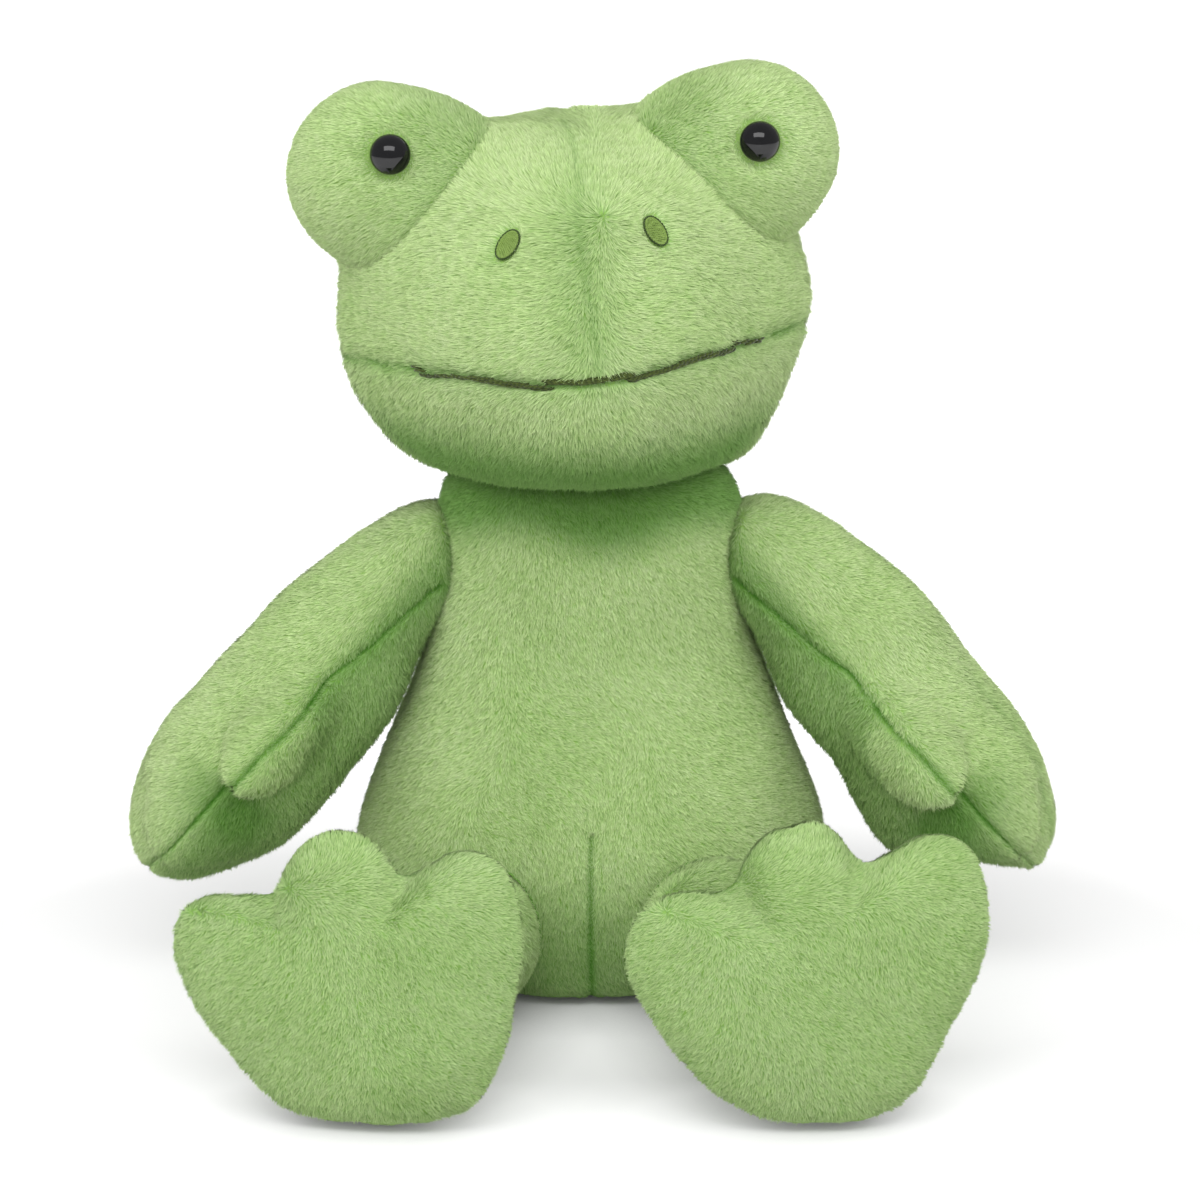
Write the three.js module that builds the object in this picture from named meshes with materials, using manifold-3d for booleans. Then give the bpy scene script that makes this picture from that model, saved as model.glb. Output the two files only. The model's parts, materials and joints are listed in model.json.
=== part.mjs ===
// A plush frog that sits on the floor with its legs out in front.
// Millimetres. +Z is up, the frog looks along -Y, and its own left side is at +X.
// The origin is the middle of the flat underside of its seat.
// Each stuffed part is a plush cover, about as thick as its pile and backing, round a core of fibre filling.
// A limb ends in a round root that sits in a hollow of the part that carries it, with a loop of thread in the crease.

import * as THREE from "three";
import { mergeVertices } from "three/addons/utils/BufferGeometryUtils.js";
import Module from "manifold-3d";

const wasm = await Module();
wasm.setup();

// Walls and clearances that every stuffed part shares
const coverWall = 3.2;
const fillingGap = 0.4;
const pieceGap = 0.35;
const seamGap = 0.7;
const seamThreadRadius = 0.9;
const floorSink = 0.5;
const cutOverrun = 40;

// Torso, a pear that is flat where it sits
const torsoWidth = 162;
const torsoDepth = 118;
const torsoHeight = 163;
const closingSeamLow = 58;
const closingSeamLength = 70;

// Head
const headWidth = 159;
const headHeight = 125;
const snoutReach = 84;
const headBack = 62;
const neckPivotAboveTorso = -3;
const neckPivotForward = 8;
const neckRadius = 31;
const headAboveNeck = 11;
const neckStitchBelowHead = 2;
const headRoll = THREE.MathUtils.degToRad(3);
const headYaw = THREE.MathUtils.degToRad(3);
const snoutTwist = THREE.MathUtils.degToRad(2.6);
const mouthHeightShare = 0.392;
const mouthLeftShare = 0.68;
const mouthRightShare = 0.65;
const mouthThreadRadius = 1.1;

// Mounds that carry the eyes
const moundWidth = 62;
const moundDepth = 52;
const moundHeight = 62;
const moundForward = 10;
const moundOffCentre = -3;
const moundSidewaysShare = 0.745;
const moundHeightShare = 0.85;

// Plastic eye, its ribbed stem and the lock washer pushed on behind the plush
const eyeDiameter = 13;
const eyeDomeHeight = 6.2;
const eyeRimHeight = 1.2;
const eyeSeatDepth = 1.3;
const eyeStemDiameter = 5;
const eyeStemLength = 15;
const eyeStemRibDepth = 0.4;
const washerDiameter = 18;
const washerThickness = 1.6;
const washerClearance = 1.4;

// Nostrils, embroidered ovals
const nostrilLength = 14;
const nostrilWidth = 7.2;
const nostrilThickness = 0.8;
const nostrilSidewaysShare = 0.295;
const nostrilHeightShare = 0.745;
const nostrilLean = THREE.MathUtils.degToRad(22);

// Arms, three-fingered mittens with their seam edge to the front
const shoulderBelowTop = 20;
const shoulderProud = 10;
const shoulderRadius = 23;
const shoulderTurn = THREE.MathUtils.degToRad(-9);
const shoulderSeamTilt = THREE.MathUtils.degToRad(12);
const armLength = 142;
const armThickness = 58;
const armBreadth = 92;
const armSpread = THREE.MathUtils.degToRad(39.5);
const armLean = THREE.MathUtils.degToRad(6);

// Legs
const hipHeight = 29;
const hipProud = 11;
const hipRadius = 27;
const hipTurn = THREE.MathUtils.degToRad(-62);
const hipSeamTurn = THREE.MathUtils.degToRad(23);
const legDiameter = 59;
const legLength = 63;
const ankleRadius = 23;

// Feet, three-toed pads with a sole panel of their own
const footReach = 59.5;
const soleCrown = 17;
const instepCrown = 24;
const ankleBehindFoot = 8;
const footTilt = THREE.MathUtils.degToRad(8);

// In degrees: the two sides are posed a little differently, as a soft toy sits.
const sides = [
  { name: "left", mirror: 1, splay: 22.5, footYaw: 6, footRoll: 7.5, eyeTurn: 5, eyeRaise: 14 },
  { name: "right", mirror: -1, splay: 24.5, footYaw: 6, footRoll: -10.5, eyeTurn: -8, eyeRaise: 20 },
];

const plush = new THREE.MeshStandardMaterial({ color: 0x9fc272, roughness: 0.95, metalness: 0 });
const filling = new THREE.MeshStandardMaterial({ color: 0xf2f2ec, roughness: 1, metalness: 0 });
const eyeBlack = new THREE.MeshStandardMaterial({ color: 0x0b0c10, roughness: 0.08, metalness: 0 });
const washerWhite = new THREE.MeshStandardMaterial({ color: 0xe4e4e0, roughness: 0.5, metalness: 0 });
const nostrilThread = new THREE.MeshStandardMaterial({ color: 0x7f9d4a, roughness: 0.7, metalness: 0 });
const mouthThread = new THREE.MeshStandardMaterial({ color: 0x3c4a1c, roughness: 0.7, metalness: 0 });
const sewingThread = new THREE.MeshStandardMaterial({ color: 0x6f9a4c, roughness: 0.8, metalness: 0 });

// Each row: share of the height, of the half width, of the half depth.
const torsoShares = [
  [0, 0, 0],
  [0.001, 0.68, 0.68],
  [0.03, 0.83, 0.82],
  [0.09, 0.94, 0.94],
  [0.16, 0.985, 0.99],
  [0.24, 1, 1],
  [0.32, 0.98, 0.98],
  [0.41, 0.92, 0.93],
  [0.5, 0.845, 0.86],
  [0.6, 0.765, 0.78],
  [0.7, 0.695, 0.72],
  [0.8, 0.65, 0.67],
  [0.89, 0.62, 0.62],
  [0.94, 0.575, 0.56],
  [0.97, 0.49, 0.47],
  [0.985, 0.42, 0.41],
];

// Each row: share of the height, of the half width, of the snout's reach, of the reach behind.
const headShares = [
  [0, 0, 0, 0],
  [0.008, 0.4, 0.3, 0.42],
  [0.045, 0.61, 0.52, 0.62],
  [0.1, 0.745, 0.7, 0.76],
  [0.18, 0.85, 0.85, 0.87],
  [0.28, 0.94, 0.95, 0.95],
  [0.39, 0.985, 1, 1],
  [0.5, 1, 0.995, 1],
  [0.6, 0.985, 0.95, 0.96],
  [0.7, 0.93, 0.87, 0.88],
  [0.79, 0.84, 0.76, 0.77],
  [0.87, 0.72, 0.61, 0.62],
  [0.94, 0.55, 0.42, 0.43],
  [0.98, 0.36, 0.24, 0.25],
  [1, 0, 0, 0],
];
const snoutRoundShare = 0.32;
const snoutPower = 2.5;

// Each row: share of the length from the shoulder; shares of the thickness away from and towards
// the torso; shares of the breadth in front and behind.
const armShares = [
  [0.105, 0.385, 0.285, 0.225, 0.225],
  [0.18, 0.435, 0.335, 0.24, 0.24],
  [0.28, 0.475, 0.385, 0.26, 0.26],
  [0.4, 0.51, 0.405, 0.29, 0.28],
  [0.5, 0.525, 0.43, 0.34, 0.31],
  [0.58, 0.53, 0.46, 0.43, 0.35],
  [0.66, 0.52, 0.48, 0.5, 0.4],
  [0.73, 0.49, 0.48, 0.49, 0.44],
  [0.78, 0.46, 0.46, 0.38, 0.46],
  [0.84, 0.41, 0.42, 0.31, 0.45],
  [0.9, 0.35, 0.36, 0.27, 0.37],
  [0.96, 0.24, 0.25, 0.18, 0.22],
  [1, 0, 0, 0, 0],
];

// Each row: share of the leg's length from the hip, share of its half diameter.
const legShares = [
  [0.18, 0.87],
  [0.36, 0.96],
  [0.56, 1],
  [0.74, 0.96],
  [0.88, 0.86],
];
// The heights of the rings of a round root, and of the neck, as shares of its radius
const rootShares = [-1, -0.9, -0.62, -0.22, 0.14];
const neckShares = [0.12, 0.45, 0.78, 0.96, 1];

// Each row: degrees from the middle toe, share of the reach from the middle of the foot.
const footOutlineShares = [
  [0, 0.795],
  [12, 0.775],
  [24, 0.7],
  [36, 0.63],
  [43, 0.74],
  [50, 0.9],
  [58, 0.99],
  [68, 1],
  [80, 0.955],
  [95, 0.875],
  [110, 0.815],
  [125, 0.78],
  [140, 0.77],
  [160, 0.78],
  [180, 0.785],
];
const footRingShares = [0, 0.4, 0.7, 0.88, 0.975];
const footEdgePower = 2.6;

// Between two rows of a table, each entry runs in a straight line.
function rowAt(table, key) {
  const next = Math.max(1, table.findIndex((row) => row[0] >= key));
  const [low, high] = [table[next - 1], table[next]];
  const share = (key - low[0]) / (high[0] - low[0]);
  return low.map((value, i) => value + share * (high[i] - value));
}

// A closed skin from rings of points between two poles, wound so that its faces point outwards
// when the rings run anticlockwise seen from the last pole.
function skin(start, rings, end) {
  const columns = rings[0].length;
  const points = [start, ...rings.flat(), end];
  const last = points.length - 1;
  const at = (ring, column) => 1 + ring * columns + (column % columns);
  const faces = [];
  for (let c = 0; c < columns; c++) {
    faces.push(0, at(0, c + 1), at(0, c));
    for (let r = 0; r + 1 < rings.length; r++) {
      faces.push(at(r, c), at(r, c + 1), at(r + 1, c + 1));
      faces.push(at(r, c), at(r + 1, c + 1), at(r + 1, c));
    }
    faces.push(last, at(rings.length - 1, c), at(rings.length - 1, c + 1));
  }
  return new THREE.BufferGeometry().setFromPoints(points).setIndex(faces);
}

// The skin of a form whose point is a function of a table's key and an angle round it.
function loft(keys, columns, pointAt) {
  const angles = Array.from({ length: columns }, (_, i) => (2 * Math.PI * i) / columns);
  const rings = keys.slice(1, -1).map((key) => angles.map((angle) => pointAt(key, angle)));
  return skin(pointAt(keys[0], 0), rings, pointAt(keys.at(-1), 0));
}

const keysOf = (table) => table.map((row) => row[0]);
const scaled = (shares, size) => shares.map((share) => size * share);

// Every other key, with both ends and their neighbours kept, for the plainer surfaces inside a cover
const fewer = (keys) =>
  keys.filter((_, i) => i % 2 === 0 || i === 1 || i === keys.length - 2 || i === keys.length - 1);

// The same skin moved inwards along its normals.
function inset(geometry, distance) {
  const moved = geometry.clone();
  moved.computeVertexNormals();
  const [place, normal] = [new THREE.Vector3(), new THREE.Vector3()];
  const positions = moved.attributes.position;
  for (let i = 0; i < positions.count; i++) {
    normal.fromBufferAttribute(moved.attributes.normal, i);
    place.fromBufferAttribute(positions, i).addScaledVector(normal, -distance);
    positions.setXYZ(i, place.x, place.y, place.z);
  }
  return moved;
}

function solid(geometry) {
  const bare = geometry.clone();
  bare.deleteAttribute("normal");
  bare.deleteAttribute("uv");
  const merged = mergeVertices(bare);
  return new wasm.Manifold(
    new wasm.Mesh({
      numProp: 3,
      vertProperties: merged.attributes.position.array,
      triVerts: new Uint32Array(merged.index.array),
    }),
  );
}

function mesh(name, material, shape) {
  const { numProp, numVert, vertProperties, triVerts } = shape.getMesh();
  const positions = new Float32Array(numVert * 3);
  for (let i = 0; i < numVert; i++) {
    positions.set(vertProperties.subarray(i * numProp, i * numProp + 3), i * 3);
  }
  const geometry = new THREE.BufferGeometry();
  geometry.setAttribute("position", new THREE.BufferAttribute(positions, 3));
  geometry.setIndex(new THREE.BufferAttribute(triVerts, 1));
  geometry.computeVertexNormals();
  const made = new THREE.Mesh(geometry, material);
  made.name = name;
  return made;
}

const ball = (radius, place = new THREE.Vector3(), steps = 20) =>
  solid(new THREE.SphereGeometry(radius, steps, 0.6 * steps).translate(place.x, place.y, place.z));

// A rod along +Y from low to high.
const rod = (radius, low, high, segments = 12) =>
  solid(new THREE.CylinderGeometry(radius, radius, high - low, segments).translate(0, (low + high) / 2, 0));

// Everything under the floor, seen from a group that stands on it.
function underFloor(group) {
  group.updateMatrix();
  const reach = torsoWidth + cutOverrun;
  const block = new THREE.BoxGeometry(2 * reach, 2 * reach, reach).translate(0, 0, -reach / 2);
  return solid(block.applyMatrix4(group.matrix.clone().invert()));
}

// A loop of thread in the plane square to an axis.
function threadLoop(name, radius, axis, place) {
  const made = new THREE.Mesh(new THREE.TorusGeometry(radius, seamThreadRadius, 4, 18), sewingThread);
  made.quaternion.setFromUnitVectors(new THREE.Vector3(0, 0, 1), axis.clone().normalize());
  made.position.copy(place);
  made.name = name;
  return made;
}

// A line of thread that lies along a path.
function threadLine(name, material, radius, points, steps) {
  const circle = new THREE.Shape().absarc(0, 0, radius, 0, 2 * Math.PI);
  const options = {
    steps,
    curveSegments: 4,
    bevelEnabled: false,
    extrudePath: new THREE.CatmullRomCurve3(points),
  };
  const made = new THREE.Mesh(new THREE.ExtrudeGeometry(circle, options), material);
  made.name = name;
  return made;
}

// A limb's round root lies in a hollow. The hollow's mouth is this far round from the way out,
// and a loop of thread lies in the crease there.
const creaseAngle = THREE.MathUtils.degToRad(113);
const creaseReach = (root) => root + seamGap + seamThreadRadius;

// A hollow for a round root, with the groove for its loop of thread.
function hollow(root, place, axis) {
  const groove = new THREE.TorusGeometry(
    creaseReach(root) * Math.sin(creaseAngle),
    seamThreadRadius + pieceGap,
    4,
    18,
  );
  groove.applyQuaternion(new THREE.Quaternion().setFromUnitVectors(new THREE.Vector3(0, 0, 1), axis));
  const centre = place.clone().addScaledVector(axis, creaseReach(root) * Math.cos(creaseAngle));
  groove.translate(centre.x, centre.y, centre.z);
  return ball(root + seamGap, place).add(solid(groove));
}

// The loop of thread in a hollow's groove
function creaseLoop(name, root, place, axis) {
  const centre = place.clone().addScaledVector(axis, creaseReach(root) * Math.cos(creaseAngle));
  return threadLoop(name, creaseReach(root) * Math.sin(creaseAngle), axis, centre);
}

// Torso

const torsoKey = (height) => (height + floorSink) / (torsoHeight + floorSink);

// Past the table's last row, a key is a height on the round end that the head turns on.
function torsoPoint(key, angle) {
  if (key > torsoShares.at(-1)[0]) {
    const height = key * (torsoHeight + floorSink) - floorSink - neckPivot.z;
    const radius = Math.sqrt(Math.max(0, neckRadius ** 2 - height ** 2));
    return new THREE.Vector3(radius * Math.cos(angle), radius * Math.sin(angle), height).add(neckPivot);
  }
  const [, width, depth] = rowAt(torsoShares, key);
  return new THREE.Vector3(
    (torsoWidth / 2) * width * Math.cos(angle),
    (torsoDepth / 2) * depth * Math.sin(angle),
    -floorSink + (torsoHeight + floorSink) * key,
  );
}

// Each limb's pivot stands a little proud of the torso, on the middle line of its seam.
const neckPivot = new THREE.Vector3(0, -neckPivotForward, torsoHeight + neckPivotAboveTorso);
const shoulderAxis = new THREE.Vector3(Math.cos(shoulderSeamTilt), 0, Math.sin(shoulderSeamTilt));
const shoulderPivot = torsoPoint(torsoKey(torsoHeight - shoulderBelowTop), shoulderTurn).addScaledVector(
  shoulderAxis,
  shoulderProud,
);
const hipAxis = new THREE.Vector3(Math.sin(hipSeamTurn), -Math.cos(hipSeamTurn), 0);
const hipPivot = torsoPoint(torsoKey(hipHeight), hipTurn).addScaledVector(hipAxis, hipProud);
const mirrored = (vector, side) => vector.clone().setX(side.mirror * vector.x);

function makeTorso() {
  const group = new THREE.Group();
  const neckKeys = scaled(neckShares, neckRadius).map((height) => torsoKey(neckPivot.z + height));
  const keys = [...keysOf(torsoShares), ...neckKeys];
  const outer = loft(keys, 24, torsoPoint);
  const inner = loft(fewer(keys), 12, torsoPoint);
  let holes = underFloor(group);
  for (const side of sides) {
    holes = holes
      .add(hollow(shoulderRadius, mirrored(shoulderPivot, side), mirrored(shoulderAxis, side)))
      .add(hollow(hipRadius, mirrored(hipPivot, side), mirrored(hipAxis, side)));
  }
  const cover = solid(outer).subtract(solid(inset(inner, coverWall)));
  const stuffing = solid(inset(inner, coverWall + fillingGap));
  group.add(
    mesh("torso_cover", plush, cover.subtract(holes)),
    mesh("torso_stuffing", filling, stuffing.subtract(holes)),
    makeClosingStitch(),
  );
  return group;
}

// The seam up the middle of the back, sewn by hand after stuffing
function makeClosingStitch() {
  const points = [];
  for (let step = 0; step <= 6; step++) {
    const height = closingSeamLow + (closingSeamLength * step) / 6;
    const onBack = torsoPoint(torsoKey(height), Math.PI / 2);
    points.push(onBack.add(new THREE.Vector3(0, seamThreadRadius + pieceGap, 0)));
  }
  return threadLine("back_closing_stitch", sewingThread, seamThreadRadius, points, 12);
}

// Head. Its own frame has the neck pivot as its origin.

const mouthMiddle = headAboveNeck + headHeight * mouthHeightShare;

function headPoint(key, angle) {
  const [, width, front, back] = rowAt(headShares, key);
  const sine = Math.sin(angle);
  const snout = snoutRoundShare * -sine + (1 - snoutRoundShare) * Math.abs(sine) ** snoutPower;
  const x = (headWidth / 2) * width * Math.cos(angle);
  const y = sine < 0 ? -snoutReach * front * snout : headBack * back * sine;
  const z = headAboveNeck + headHeight * key - mouthMiddle;
  const ahead = THREE.MathUtils.smoothstep(-y, 0, snoutReach);
  const [cosine, turn] = [Math.cos(snoutTwist * ahead), Math.sin(snoutTwist * ahead)];
  return new THREE.Vector3(x * cosine - z * turn, y, mouthMiddle + x * turn + z * cosine);
}

// A point of the face, with its outward normal: shares of the height and of half the width.
function facePoint(heightShare, sideShare) {
  const angle = -Math.acos(sideShare / rowAt(headShares, heightShare)[1]);
  const step = 0.01;
  const place = headPoint(heightShare, angle);
  const along = headPoint(heightShare, angle + step).sub(place);
  const up = headPoint(heightShare + step, angle).sub(place);
  return { place, up: up.normalize(), normal: along.cross(up).normalize() };
}

function makeMound(side, headSkin) {
  const half = new THREE.Vector3(moundWidth / 2, moundDepth / 2, moundHeight / 2);
  const centre = new THREE.Vector3(
    moundOffCentre + (side.mirror * moundSidewaysShare * headWidth) / 2,
    -moundForward,
    headAboveNeck + headHeight * moundHeightShare,
  );
  const grown = (deeper, steps) =>
    new THREE.SphereGeometry(1, steps, 0.6 * steps)
      .rotateX(Math.PI / 2)
      .scale(half.x - deeper, half.y - deeper, half.z - deeper)
      .translate(centre.x, centre.y, centre.z);
  const headAndGap = solid(inset(headSkin, -pieceGap));

  // The eye sits above the middle of the mound's front, square to its surface.
  const look = new THREE.Vector3(0, -1, 0)
    .applyEuler(new THREE.Euler(-THREE.MathUtils.degToRad(side.eyeRaise), 0, 0))
    .applyEuler(new THREE.Euler(0, 0, side.mirror * THREE.MathUtils.degToRad(side.eyeTurn)));
  const eye = new THREE.Group();
  eye.position.copy(look).multiply(half).add(centre);
  eye.quaternion.setFromUnitVectors(new THREE.Vector3(0, 1, 0), look.clone().divide(half).normalize());
  eye.updateMatrix();
  const inMound = (shape) => shape.transform(eye.matrix.toArray());

  const [eyeRadius, stemRadius, washerRadius] = [eyeDiameter / 2, eyeStemDiameter / 2, washerDiameter / 2];
  const coverSag = washerRadius ** 2 / (2 * (half.y - coverWall));
  const washerTop = -(coverWall + coverSag + washerClearance);
  const stemEnd = -eyeSeatDepth - eyeStemLength;
  const seat = rod(eyeRadius + pieceGap, -eyeSeatDepth - pieceGap, cutOverrun, 16);
  const stemHole = rod(stemRadius + pieceGap, -cutOverrun / 2, 0);
  const washerRoom = rod(washerRadius + pieceGap, washerTop - washerThickness - pieceGap, cutOverrun);
  const stemRoom = rod(stemRadius + pieceGap, stemEnd - pieceGap, 0);

  const deeper = coverWall + fillingGap;
  const cover = solid(grown(0, 18)).subtract(solid(grown(coverWall, 12)));
  const stuffing = solid(grown(deeper, 12)).subtract(inMound(washerRoom.add(stemRoom)));
  eye.add(makeEye(side.name + "_eye"), makeWasher(side.name + "_eye_washer", washerTop));
  return new THREE.Group().add(
    mesh(
      side.name + "_eye_mound_cover",
      plush,
      cover.subtract(inMound(seat.add(stemHole))).subtract(headAndGap),
    ),
    mesh(side.name + "_eye_mound_stuffing", filling, stuffing.subtract(headAndGap)),
    eye,
  );
}

// A dome with a straight rim on a ribbed stem, turned about its own axis
function makeEye(name) {
  const base = -eyeSeatDepth;
  const [radius, stem] = [eyeDiameter / 2, eyeStemDiameter / 2];
  const profile = [new THREE.Vector2(0, base - eyeStemLength)];
  const ribs = 3;
  for (let i = 0; i < ribs; i++) {
    const low = base - eyeStemLength + (eyeStemLength * i) / ribs;
    const high = low + eyeStemLength / ribs / 2;
    profile.push(new THREE.Vector2(stem - eyeStemRibDepth, low), new THREE.Vector2(stem, high));
  }
  profile.push(new THREE.Vector2(stem, base), new THREE.Vector2(radius, base));
  const rises = 4;
  for (let i = 0; i < rises; i++) {
    const turn = (i / rises) * (Math.PI / 2);
    const height = base + eyeRimHeight + (eyeDomeHeight - eyeRimHeight) * Math.sin(turn);
    profile.push(new THREE.Vector2(radius * Math.cos(turn), height));
  }
  profile.push(new THREE.Vector2(0, base + eyeDomeHeight));
  const made = new THREE.Mesh(new THREE.LatheGeometry(profile, 16), eyeBlack);
  made.name = name;
  return made;
}

function makeWasher(name, top) {
  const [inner, outer] = [eyeStemDiameter / 2 + pieceGap, washerDiameter / 2];
  const profile = [
    new THREE.Vector2(inner, top - washerThickness),
    new THREE.Vector2(outer, top - washerThickness),
    new THREE.Vector2(outer, top),
    new THREE.Vector2(inner, top),
    new THREE.Vector2(inner, top - washerThickness),
  ];
  const made = new THREE.Mesh(new THREE.LatheGeometry(profile, 12), washerWhite);
  made.name = name;
  return made;
}

// An embroidered oval that follows the face
function makeNostril(side, headSkin) {
  const { place, up, normal } = facePoint(nostrilHeightShare, side.mirror * nostrilSidewaysShare);
  const oval = new THREE.CylinderGeometry(1, 1, 1, 16);
  oval.scale(nostrilWidth / 2, nostrilLength, nostrilLength / 2);
  oval.rotateY(side.mirror * nostrilLean);
  oval.applyMatrix4(new THREE.Matrix4().makeBasis(normal.clone().cross(up), normal, up));
  oval.translate(place.x, place.y, place.z);
  const pad = solid(inset(headSkin, -pieceGap - nostrilThickness))
    .subtract(solid(inset(headSkin, -pieceGap)))
    .intersect(solid(oval));
  return mesh(side.name + "_nostril", nostrilThread, pad);
}

// The stitched mouth, on the seam between the snout and the chin
function makeMouth() {
  const points = [];
  const steps = 12;
  for (let i = 0; i <= steps; i++) {
    const sideShare = -mouthRightShare + ((mouthLeftShare + mouthRightShare) * i) / steps;
    const { place, normal } = facePoint(mouthHeightShare, sideShare);
    points.push(place.addScaledVector(normal, mouthThreadRadius + pieceGap));
  }
  return threadLine("mouth_stitch", mouthThread, mouthThreadRadius, points, 24);
}

function makeHead() {
  const head = new THREE.Group();
  head.position.copy(neckPivot);
  head.rotation.set(0, -headRoll, headYaw);
  const headSkin = loft(keysOf(headShares), 28, headPoint);
  const inner = loft(fewer(keysOf(headShares)), 14, headPoint);
  const socket = ball(neckRadius + seamGap, new THREE.Vector3(), 24);
  const cover = solid(headSkin).subtract(solid(inset(inner, coverWall)));
  const stuffing = solid(inset(inner, coverWall + fillingGap));
  head.add(
    mesh("head_cover", plush, cover.subtract(socket)),
    mesh("head_stuffing", filling, stuffing.subtract(socket)),
    makeMouth(),
  );
  for (const side of sides) {
    head.add(makeMound(side, headSkin), makeNostril(side, headSkin));
  }
  return head;
}

// The loop of thread round the neck, in the crease under the head
function makeNeckStitch() {
  const height = headAboveNeck - neckStitchBelowHead;
  const radius = Math.sqrt(creaseReach(neckRadius) ** 2 - height ** 2);
  const place = neckPivot.clone().add(new THREE.Vector3(0, 0, height));
  return threadLoop("neck_stitch", radius, new THREE.Vector3(0, 0, 1), place);
}

// Limbs are modelled as left ones, and the right ones stand in a mirrored group.

// A point along a limb's axis, on its round root or past it
function armPoint(along, angle) {
  const [cosine, sine] = [Math.cos(angle), Math.sin(angle)];
  if (along < armLength * armShares[0][0]) {
    const radius = Math.sqrt(Math.max(0, shoulderRadius ** 2 - along ** 2));
    return new THREE.Vector3(radius * cosine, -radius * sine, -along);
  }
  const [, outer, inner, front, rear] = rowAt(armShares, along / armLength);
  return new THREE.Vector3(
    armThickness * (cosine > 0 ? outer : inner) * cosine,
    -armBreadth * (sine > 0 ? front : rear) * sine,
    -along,
  );
}

function makeArm(side) {
  const arm = new THREE.Group();
  arm.position.copy(shoulderPivot);
  arm.rotation.set(-armLean, -armSpread, 0);
  const keys = [...scaled(rootShares, shoulderRadius), ...scaled(keysOf(armShares), armLength)];
  const inner = loft(fewer(keys), 12, armPoint);
  const opening = rod(shoulderRadius / 2, 0, cutOverrun).rotate([90, 0, 0]);
  const cover = solid(loft(keys, 18, armPoint)).subtract(solid(inset(inner, coverWall))).subtract(opening);
  const stuffing = solid(inset(inner, coverWall + fillingGap));
  arm.add(
    mesh(side.name + "_arm_cover", plush, cover),
    mesh(side.name + "_arm_stuffing", filling, stuffing),
  );
  const loop = creaseLoop(side.name + "_shoulder_stitch", shoulderRadius, shoulderPivot, shoulderAxis);
  const both = new THREE.Group().add(arm, loop);
  both.scale.x = side.mirror;
  return both;
}

// A point along a leg's axis, on its round root, its barrel or the round end inside the foot
function legPoint(along, angle) {
  const share = along / legLength;
  let radius = 0;
  if (share < legShares[0][0]) {
    radius = Math.sqrt(Math.max(0, hipRadius ** 2 - along ** 2));
  } else if (share > legShares.at(-1)[0]) {
    radius = Math.sqrt(Math.max(0, ankleRadius ** 2 - (along - legLength) ** 2));
  } else {
    radius = (legDiameter / 2) * rowAt(legShares, share)[1];
  }
  return new THREE.Vector3(radius * Math.cos(angle), -along, radius * Math.sin(angle));
}

function makeLeg(side) {
  const leg = new THREE.Group();
  leg.position.copy(hipPivot);
  leg.rotation.z = THREE.MathUtils.degToRad(side.splay);
  const floor = underFloor(leg);
  const ankle = new THREE.Vector3(0, -legLength, 0);
  const ankleKeys = scaled(rootShares, -ankleRadius).map((along) => legLength + along);
  const keys = [
    ...scaled(rootShares, hipRadius),
    ...scaled(keysOf(legShares), legLength),
    ...ankleKeys.reverse(),
  ];
  const inner = loft(fewer(keys), 12, legPoint);
  const cover = solid(loft(keys, 18, legPoint))
    .subtract(solid(inset(inner, coverWall)))
    .subtract(rod(hipRadius / 2, 0, cutOverrun));
  const stuffing = solid(inset(inner, coverWall + fillingGap));
  leg.add(
    mesh(side.name + "_leg_cover", plush, cover.subtract(floor)),
    mesh(side.name + "_leg_stuffing", filling, stuffing.subtract(floor)),
    makeFoot(side, leg, ankle),
  );
  const both = new THREE.Group().add(
    leg,
    creaseLoop(side.name + "_hip_stitch", hipRadius, hipPivot, hipAxis),
  );
  both.scale.x = side.mirror;
  return both;
}

function footPoint(ringShare, degrees, crown) {
  const reach = footReach * rowAt(footOutlineShares, degrees > 180 ? 360 - degrees : degrees)[1];
  const angle = THREE.MathUtils.degToRad(degrees);
  return new THREE.Vector3(
    reach * ringShare * Math.sin(angle),
    -crown * (1 - ringShare ** footEdgePower) ** 0.6,
    reach * ringShare * Math.cos(angle),
  );
}

// The foot's skin, from the instep's pole over the seam round its edge to the sole's pole
function footSkin(angles, ringShares) {
  const columns = [...angles.slice(0, -1).map((angle) => 360 - angle), ...angles.slice(1).reverse()];
  const ring = (share, crown) => columns.map((degrees) => footPoint(share, degrees, crown));
  const backs = ringShares.slice(1).map((share) => ring(share, -instepCrown));
  const fronts = ringShares.slice(1).map((share) => ring(share, soleCrown));
  return skin(
    footPoint(0, 0, -instepCrown),
    [...backs, ring(1, 0), ...fronts.reverse()],
    footPoint(0, 0, soleCrown),
  );
}

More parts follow.
